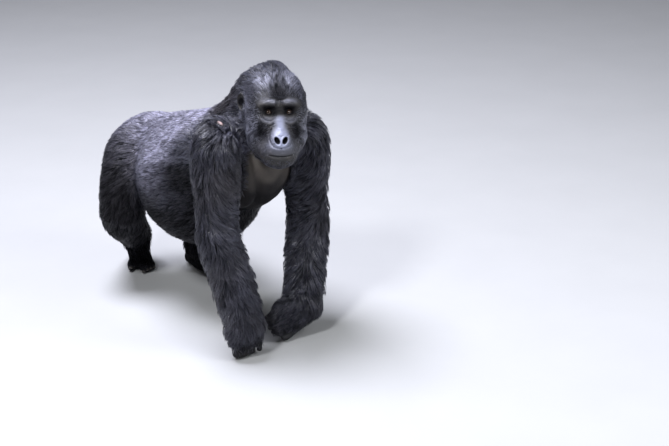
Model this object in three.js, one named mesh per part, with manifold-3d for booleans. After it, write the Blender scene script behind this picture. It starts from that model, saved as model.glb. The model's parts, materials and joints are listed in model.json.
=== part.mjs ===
// A silverback gorilla walking on its knuckles, life size, as a still model.
//
// Millimetres, +Z up. The animal faces -Y and its own left is +X. Every solid reaches out to the
// tips of the coat. Each body part is described as flesh: a function that is negative inside the
// part and positive outside it. wrap() then lays a closed net of rings round an axis and pushes
// each point of the net out to the surface of the flesh.
import * as THREE from 'three';
import { mergeVertices } from 'three/addons/utils/BufferGeometryUtils.js';
import Module from 'manifold-3d';

const wasm = await Module();
wasm.setup();

// ---------------------------------------------------------------- driving dimensions

const GAP = 0.3;                 // space between two parts that meet
const CAST_STEP = 5;             // first search for the surface, outwards from an axis
const CAST_HALVINGS = 12;        // then the step is halved this many times

const v = (x, y, z) => new THREE.Vector3(x, y, z);
const X = v(1, 0, 0);
const Z = v(0, 0, 1);

// Joints of the limbs in the walking pose. The right hand and the left foot carry the weight.
const JOINTS = {
  right: {
    shoulder: v(-202, -385, 838), elbow: v(-225, -425, 500), cuff: v(-158, -494, 128),
    hip: v(-102, 405, 582), knee: v(-205, 352, 345), ankle: v(-10, 582, 136),
  },
  left: {
    shoulder: v(205, -380, 800), elbow: v(252, -350, 412), cuff: v(148, -448, 124),
    hip: v(102, 405, 582), knee: v(210, 270, 345), ankle: v(184, 376, 98),
  },
};

const HEAD_PLACE = v(16, -466, 953);       // midway between the ears, level with the eyes
const HEAD_TURN = { yaw: -28, pitch: -11, roll: 2 };

const EYE = { x: 37, y: -105, z: 0, radius: 12 };
const EAR = { x: 122, y: 40, z: 10, height: 62, width: 38, thick: 19, turn: 45 };

// Each hand hangs from its wrist: down its palm bones, out of its back, and to its thumb.
const HANDS = {
  right: handFrame(v(-163, -489, 162), v(0, -0.1, -1), v(0, -1, 0.1), -1),
  left: handFrame(v(136, -450, 107), v(-0.93, -0.1, -0.35), v(-0.05, -0.93, 0.35), 1),
};

function handFrame(wrist, down, back, s) {
  down.normalize();
  back.addScaledVector(down, -back.dot(down)).normalize();
  return { wrist, down, back, thumb: down.clone().cross(back).multiplyScalar(s) };
}

// Each finger's joints on a walking hand, down from the wrist and back from the palm's plane.
const KNUCKLE_WALK = [[96, 8], [144, 26], [148, -16], [126, -30]];

const FEET = {
  right: { heel: v(8, 636, 76), ball: v(-30, 500, 23), tip: v(-42, 436, 9) },
  left: { heel: v(178, 424, 32), ball: v(196, 268, 23), tip: v(206, 195, 9) },
};

const SKIN = { coat: 0x24252b, bare: 0x1c1b1f, silver: 0x4a4c54, iris: 0x2a1a10 };

// ---------------------------------------------------------------- flesh

// An oval mass, given by its centre and half sizes.
function mass(centre, sizes) {
  return p => {
    const dx = p.x - centre.x, dy = p.y - centre.y, dz = p.z - centre.z;
    const near = Math.hypot(dx / sizes.x, dy / sizes.y, dz / sizes.z);
    const slope = Math.hypot(dx / sizes.x ** 2, dy / sizes.y ** 2, dz / sizes.z ** 2);
    if (slope < 1e-9) return -Math.min(sizes.x, sizes.y, sizes.z);
    return near * (near - 1) / slope;
  };
}

// A muscle from a to b whose radius runs from ra to rb.
function muscle(a, b, ra, rb) {
  const along = b.clone().sub(a);
  const length2 = along.lengthSq();
  return p => {
    const dx = p.x - a.x, dy = p.y - a.y, dz = p.z - a.z;
    const t = Math.min(1, Math.max(0, (dx * along.x + dy * along.y + dz * along.z) / length2));
    return Math.hypot(dx - t * along.x, dy - t * along.y, dz - t * along.z) - (ra + t * (rb - ra));
  };
}

// Muscles end to end along a smooth curve through the points, with a radius at each point.
function chain(points, radii, pieces = 4 * (points.length - 1)) {
  const curve = new THREE.CatmullRomCurve3(points);
  const swell = new THREE.SplineCurve(radii.map((r, i) => new THREE.Vector2(i, r)));
  const at = i => ({ p: curve.getPoint(i / pieces), r: swell.getPoint(i / pieces).y });
  const parts = [];
  for (let i = 0; i < pieces; i++) {
    const a = at(i), b = at(i + 1);
    parts.push(muscle(a.p, b.p, a.r, b.r));
  }
  return p => Math.min(...parts.map(part => part(p)));
}

// Joins fleshes with a soft fold that starts where they come within width of each other.
function blend(width, ...fleshes) {
  return p => fleshes.slice(1).reduce((near, flesh) => {
    const other = flesh(p);
    const h = Math.max(0, width - Math.abs(near - other)) / width;
    return Math.min(near, other) - h * h * width / 4;
  }, fleshes[0](p));
}

// Takes hollow out of flesh, with a soft rim.
function carve(width, flesh, hollow) {
  const rest = blend(width, p => -flesh(p), hollow);
  return p => -rest(p);
}

// ---------------------------------------------------------------- nets of rings

function castOut(flesh, from, direction, reach) {
  let inside = 0;
  let outside = CAST_STEP;
  const p = v(0, 0, 0);
  const level = r => flesh(p.copy(from).addScaledVector(direction, r));
  while (outside < reach && level(outside) < 0) {
    inside = outside;
    outside += CAST_STEP;
  }
  if (outside >= reach) return reach;
  for (let i = 0; i < CAST_HALVINGS; i++) {
    const middle = (inside + outside) / 2;
    if (level(middle) < 0) inside = middle;
    else outside = middle;
  }
  return inside;
}

// The profile that the rings of the net are turned from. Its body runs from height 0 to 1; a
// round end goes on to the axis as a quarter circle of `cap` rings, and a flat one as a disc.
function netProfile(rings, startCap, endCap) {
  const profile = [new THREE.Vector2(0, -Math.sign(startCap))];
  for (let i = 1; i < startCap; i++) {
    const angle = i / startCap * Math.PI / 2;
    profile.push(new THREE.Vector2(Math.sin(angle), -Math.cos(angle)));
  }
  for (let i = 0; i <= rings; i++) profile.push(new THREE.Vector2(1, i / rings));
  for (let i = endCap - 1; i > 0; i--) {
    const angle = i / endCap * Math.PI / 2;
    profile.push(new THREE.Vector2(Math.sin(angle), 1 + Math.cos(angle)));
  }
  profile.push(new THREE.Vector2(0, 1 + Math.sign(endCap)));
  return profile;
}

// The bare shape, in which the two edges of the seam and the points of each pole are joined.
function seamless(geometry) {
  geometry.deleteAttribute('normal');
  geometry.deleteAttribute('uv');
  return mergeVertices(geometry, 1e-6);
}

// Lays the net round the stretch of the axis curve between the shares `from` and `to`, and
// pushes it out to the flesh, or by `reach` where there is flesh beyond that. `side` is the
// direction that the seam of the net faces.
function wrap(flesh, axis, options) {
  const { rings, sides, startCap = 0, endCap = 0, from = 0, to = 1 } = options;
  const { reach = 500, side = X, grow = 0 } = options;
  const grown = p => flesh(p) - grow;
  const net = seamless(new THREE.LatheGeometry(netProfile(rings, startCap, endCap), sides));
  const place = net.attributes.position;
  const corner = v(0, 0, 0);
  for (let i = 0; i < place.count; i++) {
    corner.fromBufferAttribute(place, i);
    const share = Math.min(1, Math.max(0, corner.y));
    const beyond = corner.y - share;
    const centre = axis.getPointAt(from + share * (to - from));
    const along = axis.getTangentAt(from + share * (to - from));
    const across = side.clone().addScaledVector(along, -side.dot(along)).normalize();
    const other = across.clone().cross(along);
    const direction = across.multiplyScalar(corner.x)
      .addScaledVector(other, corner.z).addScaledVector(along, beyond);
    if (direction.lengthSq() > 1e-6) {
      direction.normalize();
      centre.addScaledVector(direction, castOut(grown, centre, direction, reach));
    }
    place.setXYZ(i, centre.x, centre.y, centre.z);
  }
  return net;
}

const curveThrough = (...points) => new THREE.CatmullRomCurve3(points);

// ---------------------------------------------------------------- joins and cuts

function toSolid(geometry) {
  const corners = [];
  for (let i = 0; i < geometry.index.count; i += 3) {
    const [a, b, c] = [0, 1, 2].map(k => geometry.index.getX(i + k));
    if (a !== b && b !== c && c !== a) corners.push(a, b, c);
  }
  return new wasm.Manifold(new wasm.Mesh({
    numProp: 3,
    vertProperties: new Float32Array(geometry.attributes.position.array),
    triVerts: new Uint32Array(corners),
  }));
}

function toGeometry(solid) {
  const mesh = solid.getMesh();
  const geometry = new THREE.BufferGeometry();
  geometry.setAttribute('position', new THREE.BufferAttribute(mesh.vertProperties, 3));
  geometry.setIndex(new THREE.BufferAttribute(mesh.triVerts, 1));
  geometry.computeVertexNormals();
  return geometry;
}

// Cuts can leave crumbs: only the largest piece is the body part.
function largest(solid) {
  return solid.decompose().reduce((best, piece) => (piece.volume() > best.volume() ? piece : best));
}

const cut = (solid, ...tools) => largest(tools.reduce((rest, tool) => rest.subtract(tool), solid));
const join = solids => solids.reduce((whole, solid) => whole.add(solid));

// Only what lies beyond the plane through a point, which the limb above ends on.
const beyond = (point, direction, solid) =>
  solid.trimByPlane(direction.toArray(), direction.dot(point) + GAP);

// Only what lies above the ground, so that the animal stands on small flats.
const onGround = solid => solid.trimByPlane(Z.toArray(), 0);

// ---------------------------------------------------------------- trunk and neck

const bothSides = make => [make(-1), make(1)];

const trunkFlesh = blend(70,
  mass(v(0, 56, 530), v(246, 306, 260)),                        // belly
  mass(v(0, -150, 668), v(196, 250, 206)),                      // rib cage
  chain([v(0, 440, 590), v(0, 200, 652), v(0, -60, 712), v(0, -260, 748)],
    [126, 126, 130, 130]),                                      // spine
  mass(v(0, 400, 570), v(165, 150, 135)),                       // pelvis
  ...bothSides(s => mass(v(s * 80, 430, 540), v(98, 120, 135))),     // buttocks
  ...bothSides(s => chain([v(s * 118, -300, 752), v(s * 136, -120, 722), v(s * 122, 80, 632)],
    [95, 108, 100])),                                                // shoulder blade and flank
  ...bothSides(s => mass(v(s * 56, -356, 680), v(78, 80, 112))),     // breast muscles
);
const trunkAxis = curveThrough(v(0, 420, 580), v(0, 180, 570), v(0, -60, 620), v(0, -300, 680));
const trunkNet = { rings: 12, sides: 24, startCap: 4, endCap: 4 };

const neckFlesh = blend(40,
  chain([v(0, -190, 780), v(10, -300, 862), v(16, -400, 915)], [122, 106, 92]),    // throat
  chain([v(0, -140, 806), v(8, -235, 895), v(22, -345, 1020)], [84, 76, 84]),      // nape
);
const neckAxis = curveThrough(v(0, -180, 795), v(8, -270, 885), v(28, -320, 965));
const neckNet = { rings: 5, sides: 16, startCap: 2, endCap: 3 };

// ---------------------------------------------------------------- head

// In the head's own frame: x to its left, -y forward, z up, from midway between the ears.
const headMasses = blend(34,
  mass(v(0, 28, 22), v(116, 122, 130)),                         // skull
  chain([v(0, 25, 96), v(0, 92, 118), v(0, 152, 94)], [60, 68, 68]),   // crest
  ...bothSides(s => mass(v(s * 57, 14, 36), v(57, 92, 92))),    // temples
  mass(v(0, 100, 20), v(98, 78, 96)),                           // nape
  mass(v(0, -62, -10), v(86, 54, 68)),                          // face
  ...bothSides(s => mass(v(s * 36, -88, -56), v(38, 44, 48))),  // beside the nose
  ...bothSides(s => mass(v(s * 66, -12, -55), v(52, 76, 86))),  // cheeks
  ...bothSides(s => mass(v(s * 48, -8, -112), v(56, 78, 72))),  // corners of the jaw
  mass(v(0, -74, -130), v(68, 80, 56)),                         // muzzle
  mass(v(0, -88, -178), v(52, 66, 32)),                         // chin
);
const upperLip = chain([v(-50, -98, -136), v(-30, -140, -130), v(0, -154, -128), v(30, -140, -130),
  v(50, -98, -136)], [22, 27, 28, 27, 22]);
const lowerLip = chain([v(-44, -100, -164), v(-26, -130, -166), v(0, -140, -167),
  v(26, -130, -166), v(44, -100, -164)], [18, 22, 24, 22, 18]);
const browRidge = chain([v(-66, -76, 30), v(-36, -97, 41), v(0, -101, 40), v(36, -97, 41),
  v(66, -76, 30)], [18, 21, 19, 21, 18]);
const nose = blend(20,
  chain([v(0, -96, 20), v(0, -104, -20), v(0, -120, -58), v(0, -142, -84)], [20, 20, 22, 20]),
  ...bothSides(s => mass(v(s * 18, -148, -94), v(19, 21, 21))),
);
const eyeSockets = blend(2, ...bothSides(s => mass(v(s * EYE.x, -134, -1), v(28, 30, 20))));
const headFlesh = carve(8, blend(24, headMasses, upperLip, lowerLip, browRidge, nose), eyeSockets);
const headAxis = curveThrough(v(0, -66, -70), v(0, 0, -14), v(0, 70, 30));
const headNet = { rings: 4, sides: 32, startCap: 13, endCap: 5 };

// An ear is a shallow cup: an oval plate with its outer face hollowed. It is modelled edge on
// to the side of the head, and its back edge is turned out by EAR.turn.
function earFlesh(s) {
  const centre = v(s * EAR.x, EAR.y, EAR.z);
  const plate = mass(centre, v(EAR.thick / 2, EAR.width / 2, EAR.height / 2));
  const cup = mass(centre.clone().add(v(s * EAR.thick / 2, 0, 4)), v(9, 10, 18));
  const ear = carve(3, plate, cup);
  const turn = THREE.MathUtils.degToRad(s * EAR.turn);
  const spun = v(0, 0, 0);
  return p => ear(spun.copy(p).sub(centre).applyAxisAngle(Z, turn).add(centre));
}

// ---------------------------------------------------------------- limbs

function armFlesh({ shoulder, elbow, cuff }, s) {
  const at = (a, b, t, dx = 0, dy = 0) => a.clone().lerp(b, t).add(v(s * dx, dy, 0));
  const root = shoulder.clone().add(v(-s * 70, 110, -6));
  return blend(35,
    chain([root, shoulder, at(shoulder, elbow, 0.5), elbow, at(elbow, cuff, 0.5),
      at(elbow, cuff, 0.85), cuff], [86, 95, 90, 86, 92, 90, 78]),
    muscle(at(shoulder, elbow, 0.02, 8), at(shoulder, elbow, 0.35, 14), 92, 82),       // deltoid
    muscle(at(shoulder, elbow, 0.35, 4, 30), at(shoulder, elbow, 0.8, 0, 26), 74, 66),  // triceps
    muscle(at(elbow, cuff, 0.05, 4, 18), at(elbow, cuff, 0.45, -6, 12), 80, 74),        // forearm
  );
}

function legFlesh({ hip, knee, ankle }, s) {
  const at = (a, b, t, dx = 0, dy = 0) => a.clone().lerp(b, t).add(v(s * dx, dy, 0));
  return blend(35,
    chain([hip, at(hip, knee, 0.5, 10), knee, at(knee, ankle, 0.45, 0, 8), ankle],
      [118, 112, 95, 86, 70]),
    muscle(at(hip, knee, 0.15, 0, 50), at(hip, knee, 0.7, -5, 45), 92, 66),             // hamstrings
    muscle(at(hip, knee, 0.1, 10, -55), at(hip, knee, 0.8, 6, -45), 88, 74),            // quadriceps
  );
}

const LIMB_GAP_SHARE = 0.0004;     // of a limb's length, which is about GAP
const KNEE_EASE = 0.2;             // how far the axis cuts the corner at the knee

// Three nodes down a limb share one axis, so that each ends on the plane where the next begins.
function limbAxis(...points) {
  const axis = curveThrough(...points);
  axis.arcLengthDivisions = 400;
  return axis;
}

// The share of the axis at which it passes closest to a point.
function shareNear(axis, point) {
  const steps = 400;
  const away = i => axis.getPointAt(i / steps).distanceTo(point);
  let best = 0;
  for (let i = 0; i <= steps; i++) if (away(i) < away(best)) best = i;
  return best / steps;
}

// ---------------------------------------------------------------- hands and feet

// A digit is a chain that thins to its tip.
function digit(points, radii, side) {
  const net = { rings: points.length - 1, sides: 6, endCap: 2, reach: 60, side };
  return toSolid(wrap(chain(points, radii), curveThrough(...points), net));
}

const FINGERS = [                   // across the hand from the wrist's middle line, and length
  { across: 56, size: 1.02 },       // index
  { across: 19, size: 1.1 },
  { across: -18, size: 1.08 },
  { across: -55, size: 0.98 },      // little
];

// A hand, cut off by the plane through `cuff` that the forearm ends on.
function handSolid({ wrist, down, back, thumb }, cuff, armEnd) {
  const at = (d, b, t) => wrist.clone().addScaledVector(down, d).addScaledVector(back, b)
    .addScaledVector(thumb, t);
  const palm = blend(24,
    chain([at(-10, 0, 0), at(24, 0, 0), at(60, 2, 0), at(96, 4, 0)], [79, 75, 58, 38]),
    muscle(at(30, 0, 34), at(96, 4, 54), 48, 33),
    muscle(at(30, 0, -32), at(92, 4, -53), 48, 32),
  );
  const palmNet = { rings: 3, sides: 12, startCap: 3, endCap: 2, reach: 130, side: thumb };
  const palmAxis = curveThrough(at(6, 0, 0), at(50, 2, 0), at(96, 4, 0));
  const parts = [beyond(cuff, armEnd, toSolid(wrap(palm, palmAxis, palmNet)))];
  for (const { across, size } of FINGERS) {
    const points = [at(86, 4, across * 0.94)];
    for (const [d, b] of KNUCKLE_WALK) points.push(at(94 + (d - 94) * size, b * size, across));
    parts.push(digit(points, [27, 25, 23, 20, 16], thumb));
  }
  parts.push(digit([at(40, -6, 50), at(62, -16, 68), at(86, -28, 64)], [22, 19, 14], back));
  return onGround(join(parts));
}

const TOES = [                      // inwards from the foot's middle line, and share of its length
  { inwards: 15, size: 1 },
  { inwards: -4, size: 0.94 },
  { inwards: -22, size: 0.85 },
  { inwards: -39, size: 0.74 },     // little
];

// A foot, cut off by the plane through the ankle that the shank ends on.
function footSolid({ heel, ball, tip }, ankle, legEnd, s) {
  const ahead = tip.clone().sub(heel).setZ(0).normalize();
  const inward = Z.clone().cross(ahead).multiplyScalar(s);
  const at = (forward, inwards, z) => ball.clone().addScaledVector(ahead, forward)
    .addScaledVector(inward, inwards).setZ(z);
  const arch = heel.clone().lerp(ball, 0.45);
  const instep = ankle.clone().lerp(ball, 0.5).setZ(ankle.z * 0.62);
  const flesh = blend(26,
    chain([ankle, instep, at(-10, 0, ball.z + 6)], [66, 48, 30]),
    muscle(heel, arch, 36, 34),
    muscle(arch, at(-5, 20, ball.z), 36, 28),
    muscle(arch, at(-5, -28, ball.z), 34, 25),
  );
  const axis = curveThrough(heel.clone().lerp(arch, 0.3), arch.clone().setZ(arch.z + 4), ball);
  const net = { rings: 5, sides: 14, startCap: 4, endCap: 2, reach: 160, side: inward };
  const parts = [beyond(ankle, legEnd, toSolid(wrap(flesh, axis, net)))];
  const reach = tip.distanceTo(ball);
  for (const { inwards, size } of TOES) {
    const length = reach * size;
    parts.push(digit([at(-12, inwards * 0.9, ball.z), at(length * 0.35, inwards, ball.z + 3),
      at(length * 0.75, inwards, 16), at(length, inwards, tip.z)], [18, 16, 14, 11], inward));
  }
  parts.push(digit([at(-50, 28, ball.z), at(-12, 50, ball.z), at(26, 62, 15)], [23, 20, 15], Z));
  return onGround(join(parts));
}

// ---------------------------------------------------------------- assembly

const gorilla = new THREE.Group();

function material(color, roughness = 0.9) {
  return new THREE.MeshStandardMaterial({ color, roughness, metalness: 0 });
}

function addPart(group, name, solid, color, roughness) {
  const mesh = new THREE.Mesh(toGeometry(solid), material(color, roughness));
  mesh.name = name;
  group.add(mesh);
  return mesh;
}

const headGroup = new THREE.Group();
headGroup.position.copy(HEAD_PLACE);
headGroup.rotation.set(...['pitch', 'roll', 'yaw'].map(name =>
  THREE.MathUtils.degToRad(HEAD_TURN[name])), 'ZXY');
headGroup.updateMatrixWorld(true);

const grown = net => ({ ...net, grow: GAP });
const headLocal = grow => toSolid(wrap(headFlesh, headAxis, { ...headNet, grow }));
const trunkTool = toSolid(wrap(trunkFlesh, trunkAxis, grown(trunkNet)));
const neckTool = toSolid(wrap(neckFlesh, neckAxis, grown(neckNet)));
const headTool = headLocal(GAP).transform(headGroup.matrixWorld.toArray());
const earRooms = bothSides(s => toSolid(seamless(new THREE.SphereGeometry(1, 12, 8)
  .scale(EAR.width, EAR.width, EAR.height * 0.7)
  .translate(s * (EAR.x + EAR.thick), EAR.y, EAR.z).applyMatrix4(headGroup.matrixWorld))));

addPart(gorilla, 'trunk', cut(toSolid(wrap(trunkFlesh, trunkAxis, trunkNet)), headTool), SKIN.silver);
addPart(gorilla, 'neck', cut(toSolid(wrap(neckFlesh, neckAxis, neckNet)), trunkTool, headTool,
  ...earRooms), SKIN.coat);

// Adds the two nodes of a limb, which meet on a plane across its middle joint, and then its end.
function addLimb(names, flesh, axis, middle, nets, tools, makeEnd) {
  const share = shareNear(axis, middle);
  const upperNet = { ...nets.upper, startCap: 3, from: 0, to: share - LIMB_GAP_SHARE, reach: 190 };
  const lowerNet = { ...nets.lower, from: share, to: 1 - LIMB_GAP_SHARE, reach: 190 };
  const upper = cut(toSolid(wrap(flesh, axis, upperNet)), ...tools);
  const lower = toSolid(wrap(flesh, axis, lowerNet));
  const upperTool = toSolid(wrap(flesh, axis, grown(upperNet)));
  const lowerTool = toSolid(wrap(flesh, axis, grown(lowerNet)));
  addPart(gorilla, names[0], upper, SKIN.coat);
  addPart(gorilla, names[1], cut(lower, upperTool, ...tools), SKIN.coat);
  addPart(gorilla, names[2], cut(makeEnd(axis.getTangentAt(1)), lowerTool), SKIN.bare);
}

for (const [name, s] of [['right', -1], ['left', 1]]) {
  const joints = JOINTS[name];
  const { shoulder, elbow, cuff, hip, knee, ankle } = joints;
  const named = parts => parts.map(part => `${part}_${name}`);
  addLimb(named(['upper_arm', 'forearm', 'hand']), armFlesh(joints, s),
    limbAxis(shoulder, elbow, cuff), elbow,
    { upper: { rings: 6, sides: 15 }, lower: { rings: 6, sides: 15 } },
    [trunkTool, neckTool, headTool], end => handSolid(HANDS[name], cuff, end));
  const insideBend = knee.clone().lerp(hip.clone().lerp(ankle, 0.5), KNEE_EASE);
  addLimb(named(['thigh', 'shank', 'foot']), legFlesh(joints, s),
    limbAxis(hip, insideBend, ankle), knee,
    { upper: { rings: 5, sides: 16 }, lower: { rings: 6, sides: 16 } },
    [trunkTool], end => footSolid(FEET[name], ankle, end, s));
}

gorilla.add(headGroup);
const eyeBall = (s, grow) => toSolid(seamless(new THREE.SphereGeometry(EYE.radius + grow, 8, 6)
  .rotateX(Math.PI / 2).translate(s * EYE.x, EYE.y, EYE.z)));
addPart(headGroup, 'head', cut(headLocal(0), ...bothSides(s => eyeBall(s, GAP))), SKIN.coat);
for (const [name, s] of [['right', -1], ['left', 1]]) {
  addPart(headGroup, `eye_${name}`, eyeBall(s, 0), SKIN.iris, 0.2);
  const middle = v(s * EAR.x, EAR.y, EAR.z);
  const earAxis = curveThrough(middle.clone().setZ(EAR.z - 12), middle.clone().setZ(EAR.z + 12));
  const ear = wrap(earFlesh(s), earAxis, { rings: 2, sides: 12, startCap: 2, endCap: 2, reach: 60 });
  addPart(headGroup, `ear_${name}`, cut(toSolid(ear), headLocal(GAP)), SKIN.bare);
}

// The origin is on the ground, under the middle of the animal's box.
gorilla.updateMatrixWorld(true);
const box = new THREE.Box3().setFromObject(gorilla, true);
const middle = box.getCenter(v(0, 0, 0));
gorilla.position.set(-middle.x, -middle.y, -box.min.z);
gorilla.updateMatrixWorld(true);

export default gorilla;
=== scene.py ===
"""The looks of a silverback gorilla that walks on its knuckles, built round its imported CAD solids.

The solids reach out to the tips of the coat. One skin is grown inside them, as deep as the coat is
thick, and the face, hands and feet are shaped on it. Locks of hair, each a thin solid, grow from
the skin and lie along the body. Lengths are in metres; the face is laid out in millimetres.
"""
import itertools
import json
import math
from collections import namedtuple

import bmesh
import bpy
import numpy as np
import openvdb
from mathutils import Matrix, Vector

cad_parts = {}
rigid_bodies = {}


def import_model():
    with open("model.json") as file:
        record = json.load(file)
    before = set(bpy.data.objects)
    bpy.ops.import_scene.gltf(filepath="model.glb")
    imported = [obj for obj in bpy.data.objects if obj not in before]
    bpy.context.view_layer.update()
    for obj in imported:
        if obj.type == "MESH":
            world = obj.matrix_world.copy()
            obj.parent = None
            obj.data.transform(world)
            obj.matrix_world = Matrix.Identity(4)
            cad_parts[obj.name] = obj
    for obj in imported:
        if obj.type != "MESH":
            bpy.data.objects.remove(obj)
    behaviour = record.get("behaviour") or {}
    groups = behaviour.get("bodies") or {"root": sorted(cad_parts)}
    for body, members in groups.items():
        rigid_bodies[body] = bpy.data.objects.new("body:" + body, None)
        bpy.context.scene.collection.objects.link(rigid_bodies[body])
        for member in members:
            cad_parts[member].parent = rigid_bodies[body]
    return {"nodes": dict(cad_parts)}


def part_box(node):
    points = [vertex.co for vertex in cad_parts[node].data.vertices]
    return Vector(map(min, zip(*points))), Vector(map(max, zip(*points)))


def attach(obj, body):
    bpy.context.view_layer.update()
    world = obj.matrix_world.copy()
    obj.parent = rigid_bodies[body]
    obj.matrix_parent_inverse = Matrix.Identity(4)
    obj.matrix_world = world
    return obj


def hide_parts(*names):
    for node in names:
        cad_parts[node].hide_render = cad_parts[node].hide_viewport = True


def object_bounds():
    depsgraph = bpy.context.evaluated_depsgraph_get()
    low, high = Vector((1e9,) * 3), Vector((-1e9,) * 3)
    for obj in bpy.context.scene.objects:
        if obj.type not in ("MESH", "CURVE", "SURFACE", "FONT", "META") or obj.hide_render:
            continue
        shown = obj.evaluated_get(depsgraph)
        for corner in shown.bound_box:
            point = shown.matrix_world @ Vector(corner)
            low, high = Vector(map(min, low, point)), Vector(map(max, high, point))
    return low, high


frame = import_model()
CAD_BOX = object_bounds()
rng = np.random.default_rng(41)

# ---------------------------------------------------------------- driving values

MM = 0.001
GRID = 0.0045                    # spacing of the distance grid
COARSE = 3                       # the grid of shares has one point per this many grid steps
GRID_MARGIN = 0.04
BAND = 16                        # how many grid steps deep distances are known
IN_BAND = 0.9 * BAND * GRID      # closer than this, a distance is surely known
SURFACE_BAND = 0.06              # how far to both sides of the surface the skin's depth is worked out
BODY_BLUR = 1.3                  # in grid steps
SKIN_BLUR = 0.8
FLESH_BLEND = 0.026              # how softly one body part runs into the next

HEAD_TURN = (-11.0, 2.0, -28.0)  # pitch, roll and yaw of the head, in degrees
EYE_MIDDLE = (0.0, -105.0, 0.0)  # between the CAD's eyes, in the head's own frame, in millimetres
EYE_X = 37.0                     # to each side and forwards, where the eyeballs sit
EYE_Y = -97.0
EYE_RADIUS = 12.0

EYES = ["eye_right", "eye_left"]
FLESH = [n for n in sorted(frame["nodes"]) if n not in EYES]

# The hair of one body part: depth of the coat, length, width and spacing of its locks, how unevenly
# it stands and lies (0 is sleek, 1 is shaggy), and which way it runs: outwards, backwards, upwards.
Coat = namedtuple("Coat", "depth length width spacing shag lie")
COATS = {
    "trunk": Coat(0.016, 0.042, 0.0020, 0.0052, 0.25, (0.30, 1.00, -0.35)),
    "neck": Coat(0.022, 0.052, 0.0023, 0.0050, 0.60, (0.80, 0.55, -0.45)),
    "head": Coat(0.018, 0.046, 0.0016, 0.0041, 0.40, (0.00, 1.00, -0.20)),
    "ear": Coat(0.010, 0.010, 0.0014, 0.0060, 0.30, (0.00, 1.00, 0.30)),
    "upper_arm": Coat(0.028, 0.072, 0.0026, 0.0046, 0.90, (0.90, 0.12, -0.75)),
    "forearm": Coat(0.028, 0.080, 0.0026, 0.0046, 1.00, (0.35, 0.45, -0.80)),
    "hand": Coat(0.010, 0.050, 0.0022, 0.0042, 0.80, (0.20, 0.25, -1.00)),
    "thigh": Coat(0.022, 0.046, 0.0022, 0.0052, 0.40, (0.00, 0.55, -0.85)),
    "shank": Coat(0.020, 0.048, 0.0023, 0.0052, 0.60, (0.00, 0.35, -0.95)),
    "foot": Coat(0.0015, 0.018, 0.0018, 0.0052, 0.40, (0.00, -0.60, -0.60)),
}
# Where the hair runs differently from that of the same limb on the other side.
LIES = {"forearm_right": (-0.35, 0.40, -0.80), "hand_left": (-0.90, 0.05, -0.50)}
LIE_SOFTNESS = 0.035
SHOULDER_RADIUS = 0.10           # the hair runs from the neck over the shoulder and then down
SHOULDER_FALL = (0.0, 0.15, -0.75)


def kind(node):
    """The body part without its side."""
    return node.removesuffix("_right").removesuffix("_left")


def side_of(node):
    return {"right": -1.0, "left": 1.0}.get(node.rsplit("_", 1)[-1], 0.0)


# ---------------------------------------------------------------- small numbers

def smooth_step(low, high, x):
    t = np.clip((x - low) / (high - low), 0.0, 1.0)
    return t * t * (3.0 - 2.0 * t)


def soft_min(a, b, width):
    """Smaller of two distances, with a soft fold where they come within width of each other."""
    h = np.maximum(width - np.abs(a - b), 0.0) / width
    return np.minimum(a, b) - h * h * width / 4.0


def unit(vectors):
    return vectors / np.maximum(np.linalg.norm(vectors, axis=1, keepdims=True), 1e-9)


def hump(value, middle, reach):
    """1 where the value is in the middle, fading out over its reach to both sides."""
    return np.exp(-((value - middle) / reach) ** 2)


def dot(a, b):
    return np.einsum("ij,ij->i", a, b)


WAVES = 7
WAVES_HEIGHT = 3.2               # what the sum of the waves is divided by


def waves(points, size, seed):
    """Smooth noise, mostly from -1 to 1, whose lumps are about that size across."""
    local = np.random.default_rng(seed)
    total = np.zeros(len(points))
    for _ in range(WAVES):
        direction = local.normal(size=3)
        direction *= 2.0 * math.pi / (size * 2.0) / np.linalg.norm(direction)
        direction *= local.uniform(0.7, 1.5)
        total += np.sin(points @ direction + local.uniform(0.0, 2.0 * math.pi))
    return total / WAVES_HEIGHT


def in_scene(name, data):
    """An object in the scene that shows the data."""
    thing = bpy.data.objects.new(name, data)
    bpy.context.scene.collection.objects.link(thing)
    return thing


def box_of(node):
    """The lowest and highest corner of a CAD node."""
    return [np.array(corner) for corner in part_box(node)]


def read(items, key, width, number=np.float32):
    """What every item says under the key, as one array with a row for each."""
    values = np.empty(len(items) * width, number)
    items.foreach_get(key, values)
    return values.reshape(-1, width)


def write(items, key, values, number=np.float32):
    items.foreach_set(key, np.ascontiguousarray(values, number).reshape(-1))


# ---------------------------------------------------------------- the head's own frame

def head_frame():
    """Where the head's own frame sits: its origin, and its axes as the columns of a matrix."""
    pitch, roll, yaw = (math.radians(angle) for angle in HEAD_TURN)
    turn = Matrix.Rotation(yaw, 3, "Z") @ Matrix.Rotation(pitch, 3, "X")
    turn = np.array(turn @ Matrix.Rotation(roll, 3, "Y"))
    corners = [np.array(corner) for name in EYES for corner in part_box(name)]
    return np.mean(corners, axis=0) - turn @ np.array(EYE_MIDDLE) * MM, turn


HEAD_ORIGIN, HEAD_AXES = head_frame()


def to_head(points):
    """Points in the head's own frame, in millimetres: x to its left, -y forwards, z up."""
    return (points - HEAD_ORIGIN) @ HEAD_AXES / MM


def from_head(points):
    return HEAD_ORIGIN + np.asarray(points) * MM @ HEAD_AXES.T


# Ellipses over the front of the face that carry little or no hair: x, z and radii.
BARE_FACE = [(0, 12, 42, 36), (0, -62, 44, 66), (0, -134, 88, 54)]
BARE_FACE += [(side * x, z, wide, high) for side in (-1, 1) for x, z, wide, high in
              ((38, 24, 39, 31), (38, -17, 34, 25))]
FACE_BACK = -42.0                # from here backwards the whole head is haired
EAR_SHIFT = (0.0, -7.0, 17.0)    # from the CAD's ear to the middle of the cup


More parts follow.
